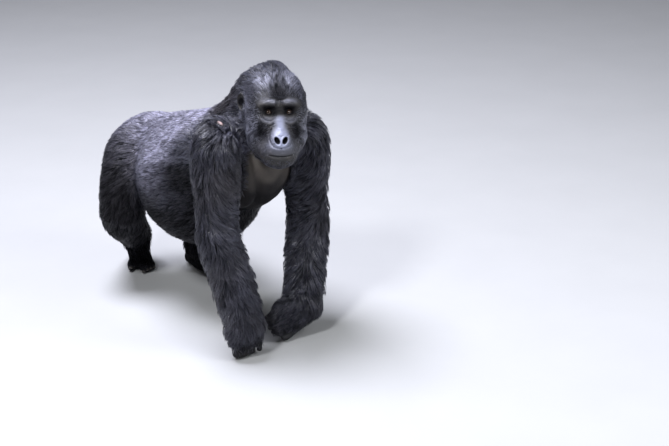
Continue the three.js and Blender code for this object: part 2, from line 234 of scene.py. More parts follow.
def away_from_ears(points):
    """Distance of each point from the middle of the nearer ear's cup, in metres."""
    best = np.full(len(points), 1e3)
    for name in ("ear_right", "ear_left"):
        middle = np.mean(box_of(name), axis=0) + HEAD_AXES @ np.array(EAR_SHIFT) * MM
        best = np.minimum(best, np.linalg.norm(points - middle, axis=1))
    return best


def hair_reach(local):
    """How far into the haired part of the head a point is, in millimetres; negative is bare."""
    best = np.full(len(local), 1e3)
    for x, z, wide, high in BARE_FACE:
        away = np.hypot((local[:, 0] - x) / wide, (local[:, 2] - z) / high)
        best = np.minimum(best, (away - 1.0) * min(wide, high))
    return np.maximum(best, local[:, 1] - FACE_BACK)


# ---------------------------------------------------------------- distance grids

class Grid:
    """Values on a regular grid that can be read anywhere in between."""

    def __init__(self, low, values, step=GRID):
        self.low = low
        self.values = values
        self.step = step

    def at(self, points):
        size = np.array(self.values.shape)
        place = np.clip((points - self.low) / self.step, 0.0, size - 1.001)
        corner = place.astype(np.int64)
        share = place - corner
        flat = self.values.reshape(-1)
        total = np.zeros(len(points))
        for dx, dy, dz in itertools.product((0, 1), repeat=3):
            weight = np.abs(1 - dx - share[:, 0]) * np.abs(1 - dy - share[:, 1])
            weight = weight * np.abs(1 - dz - share[:, 2])
            index = (corner[:, 0] + dx) * size[1] + corner[:, 1] + dy
            total += weight * flat[index * size[2] + corner[:, 2] + dz]
        return total

    def slope(self, points):
        """Which way the values grow, as unit vectors."""
        ways = []
        for axis in range(3):
            shift = np.zeros(3)
            shift[axis] = self.step
            ways.append(self.at(points + shift) - self.at(points - shift))
        return unit(np.stack(ways, axis=1))


def mesh_arrays(mesh):
    mesh.calc_loop_triangles()
    return read(mesh.vertices, "co", 3), read(mesh.loop_triangles, "vertices", 3, np.int32)


def distances(points, triangles, low, size, quads=None):
    """Distances to a closed mesh, negative inside, on a grid whose first point is at low."""
    faces = {"triangles": triangles} if quads is None else {"quads": quads}
    level = openvdb.FloatGrid.createLevelSetFromPolygons(
        (points - low).astype(np.float32), halfWidth=BAND,
        transform=openvdb.createLinearTransform(voxelSize=GRID), **faces)
    values = np.empty(size, np.float32)
    level.copyToArray(values)
    return values


def surface_of(values, low, step=1):
    """The zero surface of a grid as points and quads that face outwards."""
    level = openvdb.FloatGrid(float(BAND * GRID))
    level.copyFromArray(np.ascontiguousarray(values, np.float32))
    level.transform = openvdb.createLinearTransform(voxelSize=GRID * step)
    points, quads = level.convertToQuads(0.0)
    return points + low, quads


def largest_shell(points, quads):
    """Only the outer shell, without loose crumbs and inner bubbles."""
    label = np.arange(len(points))
    edges = np.concatenate([quads[:, [k, (k + 1) % 4]] for k in range(4)])
    while True:
        lowest = np.minimum(label[edges[:, 0]], label[edges[:, 1]])
        before = label.copy()
        np.minimum.at(label, edges[:, 0], lowest)
        np.minimum.at(label, edges[:, 1], lowest)
        label = label[label]
        if np.array_equal(before, label):
            break
    names, counts = np.unique(label[quads[:, 0]], return_counts=True)
    kept = quads[label[quads[:, 0]] == names[counts.argmax()]]
    used, places = np.unique(kept, return_inverse=True)
    return points[used], places.reshape(kept.shape)


def blur(values, sigma):
    """Gaussian blur along all three axes, sigma in grid steps."""
    reach = int(math.ceil(2.5 * sigma))
    taps = np.exp(-0.5 * (np.arange(-reach, reach + 1) / sigma) ** 2)
    taps /= taps.sum()
    for axis in range(3):
        around = [(reach, reach) if k == axis else (0, 0) for k in range(3)]
        padded = np.pad(values, around, mode="edge")
        values = np.zeros_like(values)
        for k, tap in enumerate(taps):
            part = [slice(None)] * 3
            part[axis] = slice(k, k + values.shape[axis])
            values += np.float32(tap) * padded[tuple(part)]
    return values


def body_grids():
    """Distances to the whole body, and coarse distances to each of its nodes."""
    low = np.array(CAD_BOX[0], float) - GRID_MARGIN
    high = np.array(CAD_BOX[1], float) + GRID_MARGIN
    size = tuple(int(n) for n in np.ceil((high - low) / GRID / COARSE) * COARSE + 1)
    body = None
    near = {}
    for name in FLESH:
        points, triangles = mesh_arrays(frame["nodes"][name].data)
        part = distances(points, triangles, low, size)
        near[name] = Grid(low, part[::COARSE, ::COARSE, ::COARSE].copy(), GRID * COARSE)
        body = part if body is None else soft_min(body, part, FLESH_BLEND)
    points, quads = largest_shell(*surface_of(body, low))
    body = distances(points, None, low, size, quads)
    return Grid(low, body), near


BODY, NEAR = body_grids()


def shares(points, softness=0.014):
    """How much each node counts at each point, from how close it is."""
    weights = {}
    for name in FLESH:
        away = np.maximum(NEAR[name].at(points), -0.002)
        weights[name] = np.exp(-away / softness) * (away < IN_BAND) + 1e-9
    total = sum(weights.values())
    return {name: weight / total for name, weight in weights.items()}


def mixed(weights, field):
    """A value of each coat, mixed by how much each node counts."""
    return sum(weights[name] * getattr(COATS[kind(name)], field) for name in FLESH)


SCAR = np.array([-0.198, -0.414, 0.930])
SCAR_SIZE = np.array([0.010, 0.023, 0.012])
SCAR_THIN = 1.7                  # the coat is thin this many times as far round it
SCAR_SHORT = 2.8                 # and its hair is short as far as this
CHEST_PLACE = np.array([0.53, 0.0, 0.55])        # the bare chest, as shares of the trunk's box
CHEST_SIZE = np.array([0.150, 0.150, 0.215])


def scar(points, grown=1.0):
    """1 on the old bald scar on top of the right shoulder, or on a zone grown round it."""
    return smooth_step(1.3, 0.7, np.linalg.norm((points - SCAR) / (SCAR_SIZE * grown), axis=1))


def coat_depth(points, weights):
    depth = mixed(weights, "depth")
    local = to_head(points)
    head = weights["head"] + weights["ear_right"] + weights["ear_left"]
    on_face = smooth_step(4.0, 62.0, hair_reach(local))
    depth = depth * (1.0 - head * (1.0 - on_face)) * (1.0 - 0.75 * scar(points, SCAR_THIN))
    return depth * (1.0 - 0.8 * bare_chest(points, weights))


def bare_chest(points, weights):
    """1 on the bare chest between the arms, 0 on haired skin."""
    trunk_low, trunk_high = box_of("trunk")
    middle = trunk_low + (trunk_high - trunk_low) * CHEST_PLACE
    away = (points - middle) / CHEST_SIZE
    return smooth_step(1.25, 0.85, np.linalg.norm(away, axis=1)) * weights["trunk"]


def skin_grid():
    """Distances to the skin, which lies inside the body by the depth of the coat."""
    coarse = next(iter(NEAR.values()))
    axes = [coarse.low[k] + coarse.step * np.arange(coarse.values.shape[k]) for k in range(3)]
    points = np.stack(np.meshgrid(*axes, indexing="ij"), axis=-1).reshape(-1, 3)
    depth = np.zeros(len(points))
    near_body = np.abs(BODY.values[::COARSE, ::COARSE, ::COARSE].reshape(-1)) < SURFACE_BAND + 0.01
    weights = shares(points[near_body])
    depth[near_body] = coat_depth(points[near_body], weights)
    depth = Grid(coarse.low, depth.reshape(coarse.values.shape), coarse.step)
    values = blur(BODY.values, BODY_BLUR)
    fine = np.argwhere(np.abs(values) < SURFACE_BAND)
    values[tuple(fine.T)] += depth.at(BODY.low + fine * GRID).astype(np.float32)
    return Grid(BODY.low, blur(values, SKIN_BLUR))


SKIN = skin_grid()

# ---------------------------------------------------------------- marks of skin and coat

SADDLE_STRENGTH = 0.84
HIGHLIGHT_RIDGE_STRENGTH = 0.80
HIGHLIGHT_RIDGE_WIDTH = 0.024
# A painted highlight where the light saddle ends in front: a pale line from beside the neck down behind
# the shoulder.
HIGHLIGHT_RIDGE = [(-0.060, -0.130, 0.880), (-0.120, -0.120, 0.862), (-0.200, -0.100, 0.815),
         (-0.228, -0.010, 0.748), (-0.240, 0.055, 0.690)]


def away_from_path(points, path):
    """Distance of each point from a path, and the share of the path where it comes closest."""
    corners = np.array(path, float)
    best = np.full(len(points), 1e9)
    share = np.zeros(len(points))
    for k, (a, b) in enumerate(zip(corners[:-1], corners[1:])):
        t = np.clip((points - a) @ (b - a) / ((b - a) @ (b - a)), 0.0, 1.0)
        away = np.linalg.norm(points - a - t[:, None] * (b - a), axis=1)
        closer = away < best
        best = np.where(closer, away, best)
        share = np.where(closer, (k + t) / (len(corners) - 1), share)
    return best, share


def silver_saddle_and_highlight(points, weights):
    """How silver the coat is: the saddle of a grown male, over the back and down the flanks, kept to the
    top of the trunk partly as painted light from above, with a painted highlight added along its front
    edge.
    """
    trunk_low, trunk_high = box_of("trunk")
    place = (points - trunk_low) / (trunk_high - trunk_low)
    lengthwise = smooth_step(0.20, 0.40, place[:, 1] + 0.25 * (place[:, 2] - 0.7))
    lengthwise = lengthwise * smooth_step(1.12, 0.86, place[:, 1])
    # Less silver lower down: partly the saddle's own fading, partly painted light from above.
    height = smooth_step(0.18, 0.80, place[:, 2]) ** 1.3
    patchy = 1.0 + 0.16 * waves(points, 0.10, 3)
    trunk = weights["trunk"] + 0.25 * (weights["neck"] + weights["thigh_right"] + weights["thigh_left"])
    behind_shoulder = points[:, 1] + 0.15 - 0.35 * (0.85 - points[:, 2])
    silver = SADDLE_STRENGTH * trunk * lengthwise * height * patchy
    silver = silver * smooth_step(-0.12, 0.05, behind_shoulder)
    # Painted highlight: a pale band along the ridge path, added to the silver.
    mirrored = np.column_stack([-np.abs(points[:, 0]), points[:, 1:]])
    ridge_highlight = hump(away_from_path(mirrored, HIGHLIGHT_RIDGE)[0], 0.0, HIGHLIGHT_RIDGE_WIDTH)
    return np.clip(silver + HIGHLIGHT_RIDGE_STRENGTH * ridge_highlight * trunk, 0.0, 1.0)


# Patches on the face: x and how far it fades, then z and how far it fades, in millimetres.
FACE_PATCHES = {
    "fan": (42.0, 28.0, 98.0, 26.0),
    "jaw": (88.0, 34.0, -60.0, 62.0),
    "hollow": (60.0, 17.0, -62.0, 32.0),
    "above_brow": (0.0, 46.0, 64.0, 22.0),
    "brow": (32.0, 40.0, 50.0, 13.0),
    "cheek": (52.0, 24.0, -27.0, 13.0),
    "lips": (0.0, 70.0, -134.0, 18.0),
}
# Painted shade low on the body: how much darker the coat and skin of each limb are drawn.
LIMB_SHADE = {"thigh": 0.76, "shank": 0.92, "foot": 0.90, "hand": 0.40, "forearm": 0.05}


def marks(points, normals, weights):
    """The markings that skin and coat share, painted shade and painted highlights among them, each from
    0 to 1.
    """
    local = to_head(points)
    x = np.abs(local[:, 0])
    z = local[:, 2]
    reach = hair_reach(local)
    head = np.clip(weights["head"], 0.0, 1.0)
    front = smooth_step(60.0, -20.0, local[:, 1])
    patch = {name: hump(x, across, wide) * hump(z, level, high)
             for name, (across, wide, level, high) in FACE_PATCHES.items()}
    fan = patch["fan"] * front
    jaw = patch["jaw"] * smooth_step(70.0, 0.0, local[:, 1])
    above_brow = 1.2 * patch["above_brow"] * smooth_step(-8.0, 4.0, reach)
    crown = hump(x, 0.0, 60.0) * hump(local[:, 1], 10.0, 60.0) * smooth_step(125.0, 155.0, z)
    # Painted shade in the eye sockets under the brow.
    sockets = smooth_step(84.0, 56.0, x) * smooth_step(-14.0, 0.0, z) * smooth_step(34.0, 20.0, z)
    sockets = sockets * (0.55 + 0.45 * hump(x, 34.0, 24.0))
    # Painted reflection of the sky down the nose.
    nose_width = 17.0 + 19.0 * smooth_step(-40.0, -90.0, z)
    nose_reflection = hump(x, 0.0, nose_width) * smooth_step(-136.0, -112.0, z) * smooth_step(4.0, -26.0, z)
    # Painted shade inside the nostrils.
    nostril_shade = sum(smooth_step(1.0, 0.8, into_nostril(local, side)) for side in (-1, 1))
    # Painted sheen of the sky on the cheeks, the brow and the lips.
    painted_skin_sheen = 0.30 * patch["cheek"] + 0.26 * patch["brow"] + 0.22 * patch["lips"]
    # Painted shade in the cheek hollows, eye sockets and nostrils; the face is also darker above the
    # brow and on the crown.
    dark = np.clip(patch["hollow"] + above_brow + 0.6 * crown + sockets + nostril_shade, 0.0, 1.0)
    # Painted shade on the limbs.
    limb_shade = sum(weights[name] * LIMB_SHADE.get(kind(name), 0.0) for name in FLESH)
    # Painted shade on the underside of the trunk.
    underside_shade = weights["trunk"] * smooth_step(0.30, -0.40, normals[:, 2]) * 0.92
    ears = weights["ear_right"] + weights["ear_left"]
    # Painted shade inside the ear cups.
    ear_cup_shade = smooth_step(0.022, 0.013, away_from_ears(points))
    thighs = weights["thigh_right"] + weights["thigh_left"]
    on_face = smooth_step(12.0, -10.0, reach)
    bare = head * on_face + bare_chest(points, weights) + ears
    return {
        "silver": silver_saddle_and_highlight(points, weights),
        # A painted bluish sheen on the forehead, the jaw and the lips.
        "grey": head * np.clip(fan + 1.1 * jaw + 0.5 * patch["lips"], 0.0, 1.0) * (1.0 - dark),
        # Painted shade, with the darker patches above the brow and on the crown.
        "dark": np.clip(head * dark + limb_shade + underside_shade + ear_cup_shade, 0.0, 1.0),
        "bare": np.clip(bare + scar(points), 0.0, 1.0),
        # Glossy skin, whose colour also carries a painted reflection of the sky.
        "gloss": head * np.clip(nose_reflection + painted_skin_sheen, 0.0, 1.0) * on_face * (1.0 - dark),
        "warm": np.clip(0.3 + 0.4 * waves(points, 0.16, 5) + 0.6 * thighs, 0.0, 1.0),
        "scar": scar(points),
        "chest": bare_chest(points, weights),
    }


# ---------------------------------------------------------------- the skin's mesh

def add_piece(name, points, faces):
    """A mesh object from arrays of points and of faces that all have as many corners."""
    mesh = bpy.data.meshes.new(name)
    corners = faces.shape[1]
    mesh.vertices.add(len(points))
    write(mesh.vertices, "co", points)
    mesh.loops.add(faces.size)
    write(mesh.loops, "vertex_index", faces, np.int32)
    mesh.polygons.add(len(faces))
    write(mesh.polygons, "loop_start", np.arange(0, faces.size, corners), np.int32)
    mesh.update(calc_edges=True)
    mesh.polygons.foreach_set("use_smooth", np.full(len(faces), True))
    return in_scene(name, mesh)


def add_attribute(mesh, name, values):
    write(mesh.attributes.new(name, "FLOAT", "POINT").data, "value", values)


def vertex_points(mesh):
    return read(mesh.vertices, "co", 3).astype(float)


def set_points(mesh, points):
    write(mesh.vertices, "co", points)
    mesh.update()


def refine(mesh, chosen):
    """Halves the edges whose two ends are both chosen."""
    bm = bmesh.new()
    bm.from_mesh(mesh)
    bm.verts.ensure_lookup_table()
    edges = [e for e in bm.edges if chosen[e.verts[0].index] and chosen[e.verts[1].index]]
    bmesh.ops.subdivide_edges(bm, edges=edges, cuts=1, use_grid_fill=True)
    bm.to_mesh(mesh)
    bm.free()


def onto_skin(points, rounds=2):
    for _ in range(rounds):
        points = points - SKIN.slope(points) * SKIN.at(points)[:, None]
    return points


def relaxed(mesh, points, chosen, rounds, strength=0.5):
    """Points moved towards the middle of their neighbours."""
    edges = read(mesh.edges, "vertices", 2, np.int32)
    ends = np.concatenate([edges[:, 0], edges[:, 1]])
    others = np.concatenate([edges[:, 1], edges[:, 0]])
    count = np.bincount(ends, minlength=len(points))[:, None]
    for _ in range(rounds):
        total = np.stack([np.bincount(ends, points[others, k], len(points)) for k in range(3)], axis=1)
        points = points + (total / count - points) * (strength * chosen)[:, None]
    return points


DIGITS_HIGH = 0.064              # the fingers and toes lie below this


def settle(mesh, rounds=2):
    """Moves the mesh onto the skin, and gives its points, also in the head's own frame."""
    points = onto_skin(vertex_points(mesh), rounds)
    set_points(mesh, points)
    return points, to_head(points)


def relax_face(mesh, points, reach):
    """Relaxes the part of the face where hair_reach is below reach."""
    set_points(mesh, relaxed(mesh, points, (hair_reach(to_head(points)) < reach) * 1.0, 3))
    points = vertex_points(mesh)
    return points, to_head(points)


def skin_piece():
    step = 2
    base, quads = largest_shell(*surface_of(SKIN.values[::step, ::step, ::step], SKIN.low, step))
    skin = add_piece("skin", base, quads)
    mesh = skin.data
    points, local = settle(mesh)
    on_end = np.zeros(len(points), bool)
    for low, high in (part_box(n) for n in FLESH if kind(n) in ("hand", "foot")):
        high = [*high[:2], DIGITS_HIGH]
        on_end |= np.all((points > np.array(low) - 0.005) & (points < np.array(high) + 0.005), axis=1)
    refine(mesh, on_end | ((hair_reach(local) < 20) & (local[:, 1] < -26)))
    points, local = settle(mesh)
    refine(mesh, (hair_reach(local) < 9) & (local[:, 1] < -34))
    points, local = relax_face(mesh, onto_skin(vertex_points(mesh), 1), 16)
    near_nose = (np.abs(local[:, 0]) < 50) & (local[:, 2] > -158) & (local[:, 2] < 60)
    refine(mesh, near_nose & (hair_reach(local) < -3))
    relax_face(mesh, vertex_points(mesh), 6)
    return skin


# ---------------------------------------------------------------- the face

def both(line):
    """A line and its mirror image."""
    return [line, [(-x, z) for x, z in line]]


# Each fold of the face: its line as x and z, its half width, and how far it stands out, in mm.
FOLDS = [
    ([(-62, 44), (-44, 53), (-26, 57), (-8, 53), (0, 51), (8, 53), (26, 57), (44, 53), (62, 44)],
     2.6, 2.4),                                                            # top edge of the brow
    ([(-58, 38), (-40, 47), (-24, 50), (-9, 46)], 1.7, -2.2),              # folds along the brow
    ([(58, 38), (40, 47), (24, 50), (9, 46)], 1.7, -2.2),
    ([(-52, 33), (-34, 40), (-18, 41)], 1.5, -1.4),
    ([(52, 33), (34, 40), (18, 41)], 1.5, -1.4),
    ([(-44, 60), (-24, 64), (0, 60), (24, 64), (44, 60)], 2.2, -1.2),      # above the brow
    ([(-3, 50), (-5, 42), (-4, 33), (-7, 26)], 1.8, -1.7),                 # frown
    ([(4, 52), (3, 43), (6, 34), (5, 25)], 1.8, -1.7),
    ([(-12, 47), (-13, 40), (-10, 33)], 1.6, -0.9),
    ([(12, 47), (13, 40), (11, 33)], 1.6, -0.9),
    ([(-58, -146), (-40, -151), (-20, -154), (0, -155), (20, -154), (40, -151), (58, -145)],
     2.0, -6.5),                                                           # between the lips
    ([(-46, -158), (-20, -164), (0, -165), (20, -164), (46, -158)], 5.0, 3.2),      # lower lip
    ([(-48, -139), (-20, -146), (0, -147), (20, -146), (48, -139)], 5.0, 2.0),      # upper lip
    ([(-34, -176), (0, -180), (34, -176)], 4.0, -2.5),                     # above the chin
]
for pair, half_width, height in [
        ([(78, 18), (60, 32), (36, 38), (8, 33)], 13.0, 13.0),             # brow ridge
        ([(16, 8), (36, 9), (58, 7)], 13.0, -12.0),                        # eye socket
        ([(60, -40), (64, -62), (62, -84)], 13.0, -6.0),                   # hollow of the cheek
        ([(18, 10), (30, 16), (44, 16), (58, 7)], 2.2, -1.6),              # over the upper lid
        ([(20, -14), (34, -19), (50, -15), (64, -3)], 6.0, 2.6),           # under the eye
        ([(17, -18), (32, -29), (50, -27), (70, -12)], 2.8, -2.2),
        ([(19, -10), (34, -13), (48, -11)], 1.8, -0.9),
        ([(22, -30), (38, -38), (58, -33), (76, -18)], 5.5, 1.8),
        ([(19, -34), (32, -46), (48, -47)], 2.6, -2.6),                    # beside the nose
        ([(22, -45), (34, -56), (44, -58)], 2.2, -1.8),
        ([(11, -2), (17, -18), (22, -32), (28, -46)], 2.4, -1.4),          # beside the bridge
        ([(33, -58), (40, -74), (42, -94), (36, -112), (20, -122), (0, -124)],
         3.4, -4.2),                                                       # round the nose
        ([(30, -78), (34, -94), (28, -108)], 6.0, 2.8),                    # wing of the nose
        ([(0, -52), (4, -66), (6, -80)], 7.0, 2.0),                        # back of the nose
        ([(46, -100), (58, -122), (66, -142)], 4.0, -2.4),                 # from nose to mouth
        ([(4, -126), (5, -140)], 2.2, -0.9)]:                              # from nose to lip
    FOLDS += [(line, half_width, height) for line in both(pair)]

NOSTRIL = (14.5, -96.0, 10.5, 14.0)         # x, z and radii of a nostril
NOSTRIL_DEPTH = 17.0


def into_nostril(local, side):
    """How far out from the middle of a nostril a point is, as a share of the nostril's radius."""
    x, z, wide, high = NOSTRIL
    lean = (local[:, 0] - side * x) * side - 0.28 * (local[:, 2] - z)
    away = np.hypot(lean / wide, (local[:, 2] - z) / high)
    return np.where(local[:, 1] < -70, away, 9.0)


def shape_nostrils(local):
    for side in (-1, 1):
        away = into_nostril(local, side)
        local[:, 1] -= 2.2 * hump(away, 1.25, 0.28)
        pit = smooth_step(1.02, 0.66, away) * NOSTRIL_DEPTH
        local[:, 1] += pit
        local[:, 2] += pit * 0.35
    return local


LID_HALF_WIDTH = 10.8
LID_RISE = 2.5
LID_FALL = 2.7
LID_THICKNESS = 1.5
LID_TILT = 0.10
LID_REACH = 34.0                 # how far from the eye's middle the skin is moved
SLIT_DEPTH = 3.0                 # of the skin between the lids, in front of the eye's middle


def shape_lids(local):
    """Wraps the skin round each eyeball, and opens the slit between the lids."""
    for side in (-1, 1):
        centre = np.array([side * EYE_X, EYE_Y, 0.0])
        offset = local - centre
        away = np.linalg.norm(offset, axis=1)
        front = smooth_step(4.0, -3.0, offset[:, 1])
        across = offset[:, 0] * side
        level = offset[:, 2] - LID_TILT * across
        arch = 1.0 - (across / LID_HALF_WIDTH) ** 2
        inside = np.minimum(LID_RISE * arch - level, level + LID_FALL * arch)
        near = (away < LID_REACH) & (offset[:, 1] < 6.0)
        flat = np.hypot(offset[:, 0] / 19.0, offset[:, 2] / 15.0)
        hug = smooth_step(1.25, 0.70, flat) * front
        shell = EYE_RADIUS + LID_THICKNESS
        outwards = offset / np.maximum(away, 1e-6)[:, None]
        onto = centre + outwards * shell
        flat_onto = local.copy()
        radius = np.hypot(offset[:, 0], offset[:, 2])
        flat_onto[:, 1] = EYE_Y - np.sqrt(np.maximum(shell ** 2 - radius ** 2, 0.0))
        covered = np.where((radius < shell * 0.92)[:, None], flat_onto, onto)
        moved = local + (covered - local) * (hug * near)[:, None]
        opened = smooth_step(-0.35, 0.45, inside) * near
        deep = moved.copy()
        deep[:, 1] = EYE_Y - SLIT_DEPTH
        local = moved + (deep - moved) * opened[:, None]
    return local


CHEST_GROOVE = [(-0.072, 0.72), (-0.060, 0.65), (-0.046, 0.57)]


def shape_chest(mesh):
    """The groove between the breast muscles, down the bare chest."""
    points = vertex_points(mesh)
    chest = bare_chest(points, shares(points))
    line = np.array(CHEST_GROOVE)
    across = points[:, 0] - np.interp(points[:, 2], line[::-1, 1], line[::-1, 0])
    sunk = -0.011 * hump(across, 0.0, 0.012) + 0.009 * hump(np.abs(across), 0.050, 0.032)
    set_points(mesh, points + SKIN.slope(points) * (sunk * chest)[:, None])


def shape_face(mesh):
    points = vertex_points(mesh)
    local = to_head(points)
    face = (hair_reach(local) < 22) & (local[:, 1] < -35)
    part = local[face]
    normal = SKIN.slope(points[face]) @ HEAD_AXES
    flat = part[:, [0, 2]]
    rise = np.zeros(len(part))
    for line, half_width, height in FOLDS:
        away, share = away_from_path(flat, line)
        ends = smooth_step(0.0, 0.12, share) * smooth_step(1.0, 0.88, share)
        rise += height * hump(away, 0.0, half_width) * (1.0 if line[-1][0] == 0 else ends)
    creases = 0.60 * waves(part * np.array([0.30, 1.0, 1.0]), 6.0, 11)
    creases += 0.25 * waves(part * np.array([0.6, 1.0, 1.0]), 3.0, 12)
    on_nose = hump(part[:, 0], 0.0, 30.0) * hump(part[:, 2], -66.0, 52.0)
    rise += creases * (1.0 - 0.8 * on_nose)
    part = part + normal * rise[:, None]
    part = shape_nostrils(part)
    part = shape_lids(part)
    local[face] = part
    set_points(mesh, from_head(local))


# ---------------------------------------------------------------- ears

EAR_HEIGHT = 33.0                # half of an ear, in millimetres
EAR_WIDTH = 19.0
EAR_TURN = {-1: 40.0, 1: 12.0}   # how far the back edge of each stands out, in degrees
EAR_SUNK = {-1: 0.0, 1: 11.0}    # the left one lies flat against the head, under the hair
# Over the front of the ear and round its back: share of the way out to the rim, and height.
EAR_PROFILE = [(0.02, -9.0), (0.25, -8.5), (0.45, -6.0), (0.58, -1.0), (0.68, 0.2), (0.80, -2.2),
               (0.90, 1.2), (0.97, 2.6), (1.03, 1.0), (1.02, -2.0), (0.90, -5.0), (0.65, -9.0),
               (0.35, -14.0), (0.02, -16.0)]
EAR_POINTS = 36                  # points of each ring


def ring_faces(rows, around, turned=1):
    """Quads between rings of points, one ring after the other."""
    faces = []
    for row in range(rows - 1):
        for k in range(around):
            a = row * around + k
            b = row * around + (k + 1) % around
            faces.append((a, *(b, b + around, a + around)[::turned]))
    return faces


def head_mesh(name, points, faces):
    """A smooth mesh from points in the head's own frame."""
    mesh = bpy.data.meshes.new(name)
    mesh.from_pydata([tuple(p) for p in from_head(points)], [], faces)
    mesh.polygons.foreach_set("use_smooth", [True] * len(mesh.polygons))
    return mesh


def ear_mesh(name, side):
    """A cupped ear whose base is buried in the head, for joining to the skin."""
    low, high = box_of(name)
    middle = to_head(((low + high) / 2)[None])[0] + np.array(EAR_SHIFT)
    middle[0] += side * (1.0 - EAR_SUNK[side])
    turn = math.radians(EAR_TURN[side])
    out = np.array([side * math.cos(turn), -math.sin(turn), 0.0])
    back = np.array([side * math.sin(turn), math.cos(turn), 0.12])
    around = EAR_POINTS
    points = []
    for share, height in EAR_PROFILE:
        for k in range(around):
            angle = 2.0 * math.pi * k / around
            narrow = 1.0 - 0.18 * max(0.0, -math.sin(angle))
            rim = height + (2.0 * math.cos(3.0 * angle) if 0.5 < share < 0.75 else 0.0)
            points.append(middle + back * (EAR_WIDTH * narrow * share * math.cos(angle))
                          + np.array([0.0, 0.0, 1.0]) * (EAR_HEIGHT * share * math.sin(angle))
                          + out * rim)
    rows = len(EAR_PROFILE)
    ends = [list(range(around))[::-1], [(rows - 1) * around + k for k in range(around)]]
    return head_mesh(name + "_shape", points, ring_faces(rows, around) + ends)


def join_ears(skin):
    bm = bmesh.new()
    for name, side in (("ear_right", -1), ("ear_left", 1)):
        bm.from_mesh(ear_mesh(name, side))
    bmesh.ops.recalc_face_normals(bm, faces=bm.faces)
    bm.from_mesh(skin.data)
    bm.to_mesh(skin.data)
    bm.free()


skin = skin_piece()
shape_face(skin.data)
shape_chest(skin.data)
join_ears(skin)
skin_points = vertex_points(skin.data)
skin_weights = shares(skin_points)
skin_marks = marks(skin_points, SKIN.slope(skin_points), skin_weights)
for name, values in skin_marks.items():
    add_attribute(skin.data, name, values)


def unwrap(piece):
    """Lays the piece's own surface out flat in the map OFBake."""
    piece.data.uv_layers.new(name="OFBake")
    for other in bpy.context.scene.objects:
        other.select_set(False)
    bpy.context.view_layer.objects.active = piece
    piece.select_set(True)
    bpy.ops.object.mode_set(mode="EDIT")
    bpy.ops.mesh.select_all(action="SELECT")
    bpy.ops.uv.smart_project(angle_limit=math.radians(66.0), island_margin=0.002)
    bpy.ops.object.mode_set(mode="OBJECT")
    piece.select_set(False)


unwrap(skin)
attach(skin, "root")
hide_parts(*FLESH)

# ---------------------------------------------------------------- nails

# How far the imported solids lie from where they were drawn, in millimetres. The tables below give
# places as drawn.
DRAWN = np.array([-13.3, -10.3, 0.0])
# Of each foot: its side, its heel, ball and tip. Of its toes: how far inwards, and share of length.
FEET = [(-1, (8, 636, 76), (-30, 500, 23), (-42, 436, 9)),
        (1, (178, 424, 32), (196, 268, 23), (206, 195, 9))]
TOES = [(15, 1.0), (-4, 0.94), (-22, 0.85), (-39, 0.74)]
# Of each hand: its side, its wrist, the way down its palm, and the way out of its back. Of its
# fingers: how far across the palm towards the thumb, and share of length.
HANDS = [(-1, (-163, -489, 162), (0, -0.1, -1), (0, -1, 0.1)),
         (1, (136, -450, 107), (-0.93, -0.1, -0.35), (-0.05, -0.93, 0.35))]
FINGERS = [(56, 1.02), (19, 1.1), (-18, 1.08), (-55, 0.98)]
PALM = 94.0                      # from the wrist to the knuckles
# The last joint, the tip and the middle of a bent finger: further down, and out of the back.
FINGER_BEND = [(54, -16), (32, -30), (26, 0)]
NAIL_LENGTH = 15.0
NAIL_THICKNESS = 2.0
NAIL_STEP = 0.003                # how far a nail moves at most in one step on its way to the skin
NAIL_STEPS = 12
NAIL_ROWS = 6                    # points of a nail across and along


def straight(vector):
    vector = np.asarray(vector, float)
    return vector / np.linalg.norm(vector)


def toe_nails():
    """For each toe: the place of its nail, the way ahead and up, and how wide the nail is."""
    nails = []
    for side, heel, ball, tip in FEET:
        ball, tip = np.array(ball, float), np.array(tip, float)
        ahead = straight((tip - heel) * (1, 1, 0))
        inward = np.cross((0, 0, 1), ahead) * side
        reach = np.linalg.norm(tip - ball)
        for inwards, size in TOES:
            spot = ball + ahead * (reach * size - 4.0) + inward * inwards
            spot[2] = tip[2] + 4.0
            nails.append((spot, ahead + np.array([0, 0, -0.35]), (0, 0, 1), 13.0))
        big = ball + ahead * 24.0 + inward * 61.0
        big[2] = 19.0
        nails.append((big, ahead + 0.35 * inward, (0, 0, 1), 19.0))
    return nails


def finger_nails():
    """The same for each finger and thumb."""
    nails = []
    for side, wrist, down, back in HANDS:
        down = straight(down)
        back = straight(np.array(back) - down * np.dot(back, down))
        thumb = np.cross(down, back) * side
        for across, size in FINGERS:
            joint, tip, middle = (np.array(wrist) + down * (PALM + d * size) + back * (b * size)
                                  + thumb * across for d, b in FINGER_BEND)
            nails.append(((joint + 2 * tip) / 3, tip - joint, (joint + tip) / 2 - middle, 15.0))
        spot = np.array(wrist) + down * 82 - back * 26 + thumb * 68
        nails.append((spot, down * 24 - back * 12, thumb, 17.0))
    return nails


